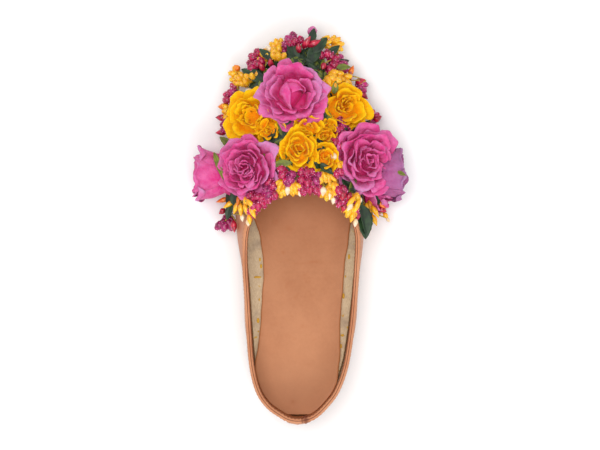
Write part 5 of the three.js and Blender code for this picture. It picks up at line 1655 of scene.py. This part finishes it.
def build_spray(name, buds, seed):
    """One spray as a joined mesh: buds, their glitter and the wires to its root."""
    rng = np.random.default_rng(seed)
    kinds = sorted({bud[7].rstrip("*") for bud in buds})
    materials = [BUD_PAINTS[kind] for kind in kinds] + [GLITTER, GOLD_GLITTER, WIRE]
    shape = Shape()
    root = spray_root(name)
    for x, y, heading, length, width, tilt, height, kind in buds:
        glittered = kind.endswith("*")
        paint = kinds.index(kind.rstrip("*"))
        seat, _ = seat_near(x, y)
        centre = np.array([x, y, seat[2] + height - 0.4 * math.hypot(seat[0] - x, seat[1] - y)])
        direction = toward(heading, tilt)
        if kind == "gold*":
            length = length * GOLD_STRETCH
            width = width * GOLD_SLIM
        for offset, way in knot_of(direction, width, kind, rng):
            place = clear_of_upper(centre + offset, width / 2 + BUD_GAP)
            add_bud(shape, place, way, length, width, not glittered, 0.1 * glittered, paint)
            if glittered:
                add_grains(shape, place, way, length, width, len(kinds) + (kind == "gold*"), rng)
        heel = centre - direction * length * 0.42
        add_wire(shape, stem_root(root, heel), heel, len(kinds) + 2)
    make_piece(f"{name}_buds", shape, materials, [name])


# Stage

FLOOR_HALF = 3.0
CAMERA_HEIGHT = 3.0
CAMERA_LENS = 266.0
WORLD_STRENGTH = 0.77
# What the lights aim at, in the frame's metres, and their name, place, size, power and tint
AIM = (0.0, 0.09, 0.03)
LIGHTS = [
    ("key_light", (-0.22, 0.30, 1.7), 0.9, 11.0, (1.0, 0.985, 0.96)),
    ("fill_light", (0.20, -0.9, 1.4), 1.0, 9.0, (0.98, 0.985, 1.0)),
]


def link(name, data):
    item = bpy.data.objects.new(name, data)
    bpy.context.scene.collection.objects.link(item)
    return item


def build_stage():
    mesh = bpy.data.meshes.new("floor")
    corners = [(-1, -1, 0), (1, -1, 0), (1, 1, 0), (-1, 1, 0)]
    mesh.from_pydata([(FLOOR_HALF * x, FLOOR_HALF * y, z) for x, y, z in corners], [], [(0, 1, 2, 3)])
    mesh.materials.append(floor_material())
    link("floor", mesh)


def build_camera():
    """Straight above the shoe, with the toe at the top of the picture."""
    data = bpy.data.cameras.new("camera")
    data.lens = CAMERA_LENS
    data.sensor_width = 36.0
    data.clip_end = 20.0
    camera = link("camera", data)
    camera.location = ((CAD_LOW.x + CAD_HIGH.x) / 2, (CAD_LOW.y + CAD_HIGH.y) / 2, CAMERA_HEIGHT)
    camera.rotation_euler = (0.0, 0.0, 0.0)
    bpy.context.scene.camera = camera
    bpy.context.scene.view_settings.view_transform = "Standard"


def build_lights():
    world = bpy.data.worlds.new("studio")
    world.use_nodes = True
    world.node_tree.nodes["Background"].inputs["Color"].default_value = (1.0, 1.0, 1.0, 1.0)
    world.node_tree.nodes["Background"].inputs["Strength"].default_value = WORLD_STRENGTH
    bpy.context.scene.world = world
    for name, place, size, power, tint in LIGHTS:
        data = bpy.data.lights.new(name, "AREA")
        data.shape = "DISK"
        data.size = size
        data.energy = power
        data.color = tint
        light = link(name, data)
        light.location = place
        light.rotation_euler = (Vector(AIM) - Vector(place)).to_track_quat("-Z", "Y").to_euler()


build_stage()
build_camera()
build_lights()
build_upper()
build_binding()
build_binding_stitches()
build_back_strip()
build_outsole()
build_heel()
build_insole()
build_sock()
build_glue_specks()
for number, row in enumerate(ROSES):
    cloth = PALE_ROSE if row[0] == "rose_right_side" else ROSE
    build_bloom(row, ROSE_DIAMETER, ROSE_HEIGHT, cloth, ROSE_SEED + number)
for number, row in enumerate(SMALL_ROSES):
    seed = SMALL_ROSE_SEED + number
    build_bloom(row, SMALL_ROSE_DIAMETER, SMALL_ROSE_HEIGHT, YELLOW, seed)
build_leaves()
build_under_leaves()
for number, (name, buds) in enumerate(SPRAYS.items()):
    build_spray(name, buds, SPRAY_SEED + number)
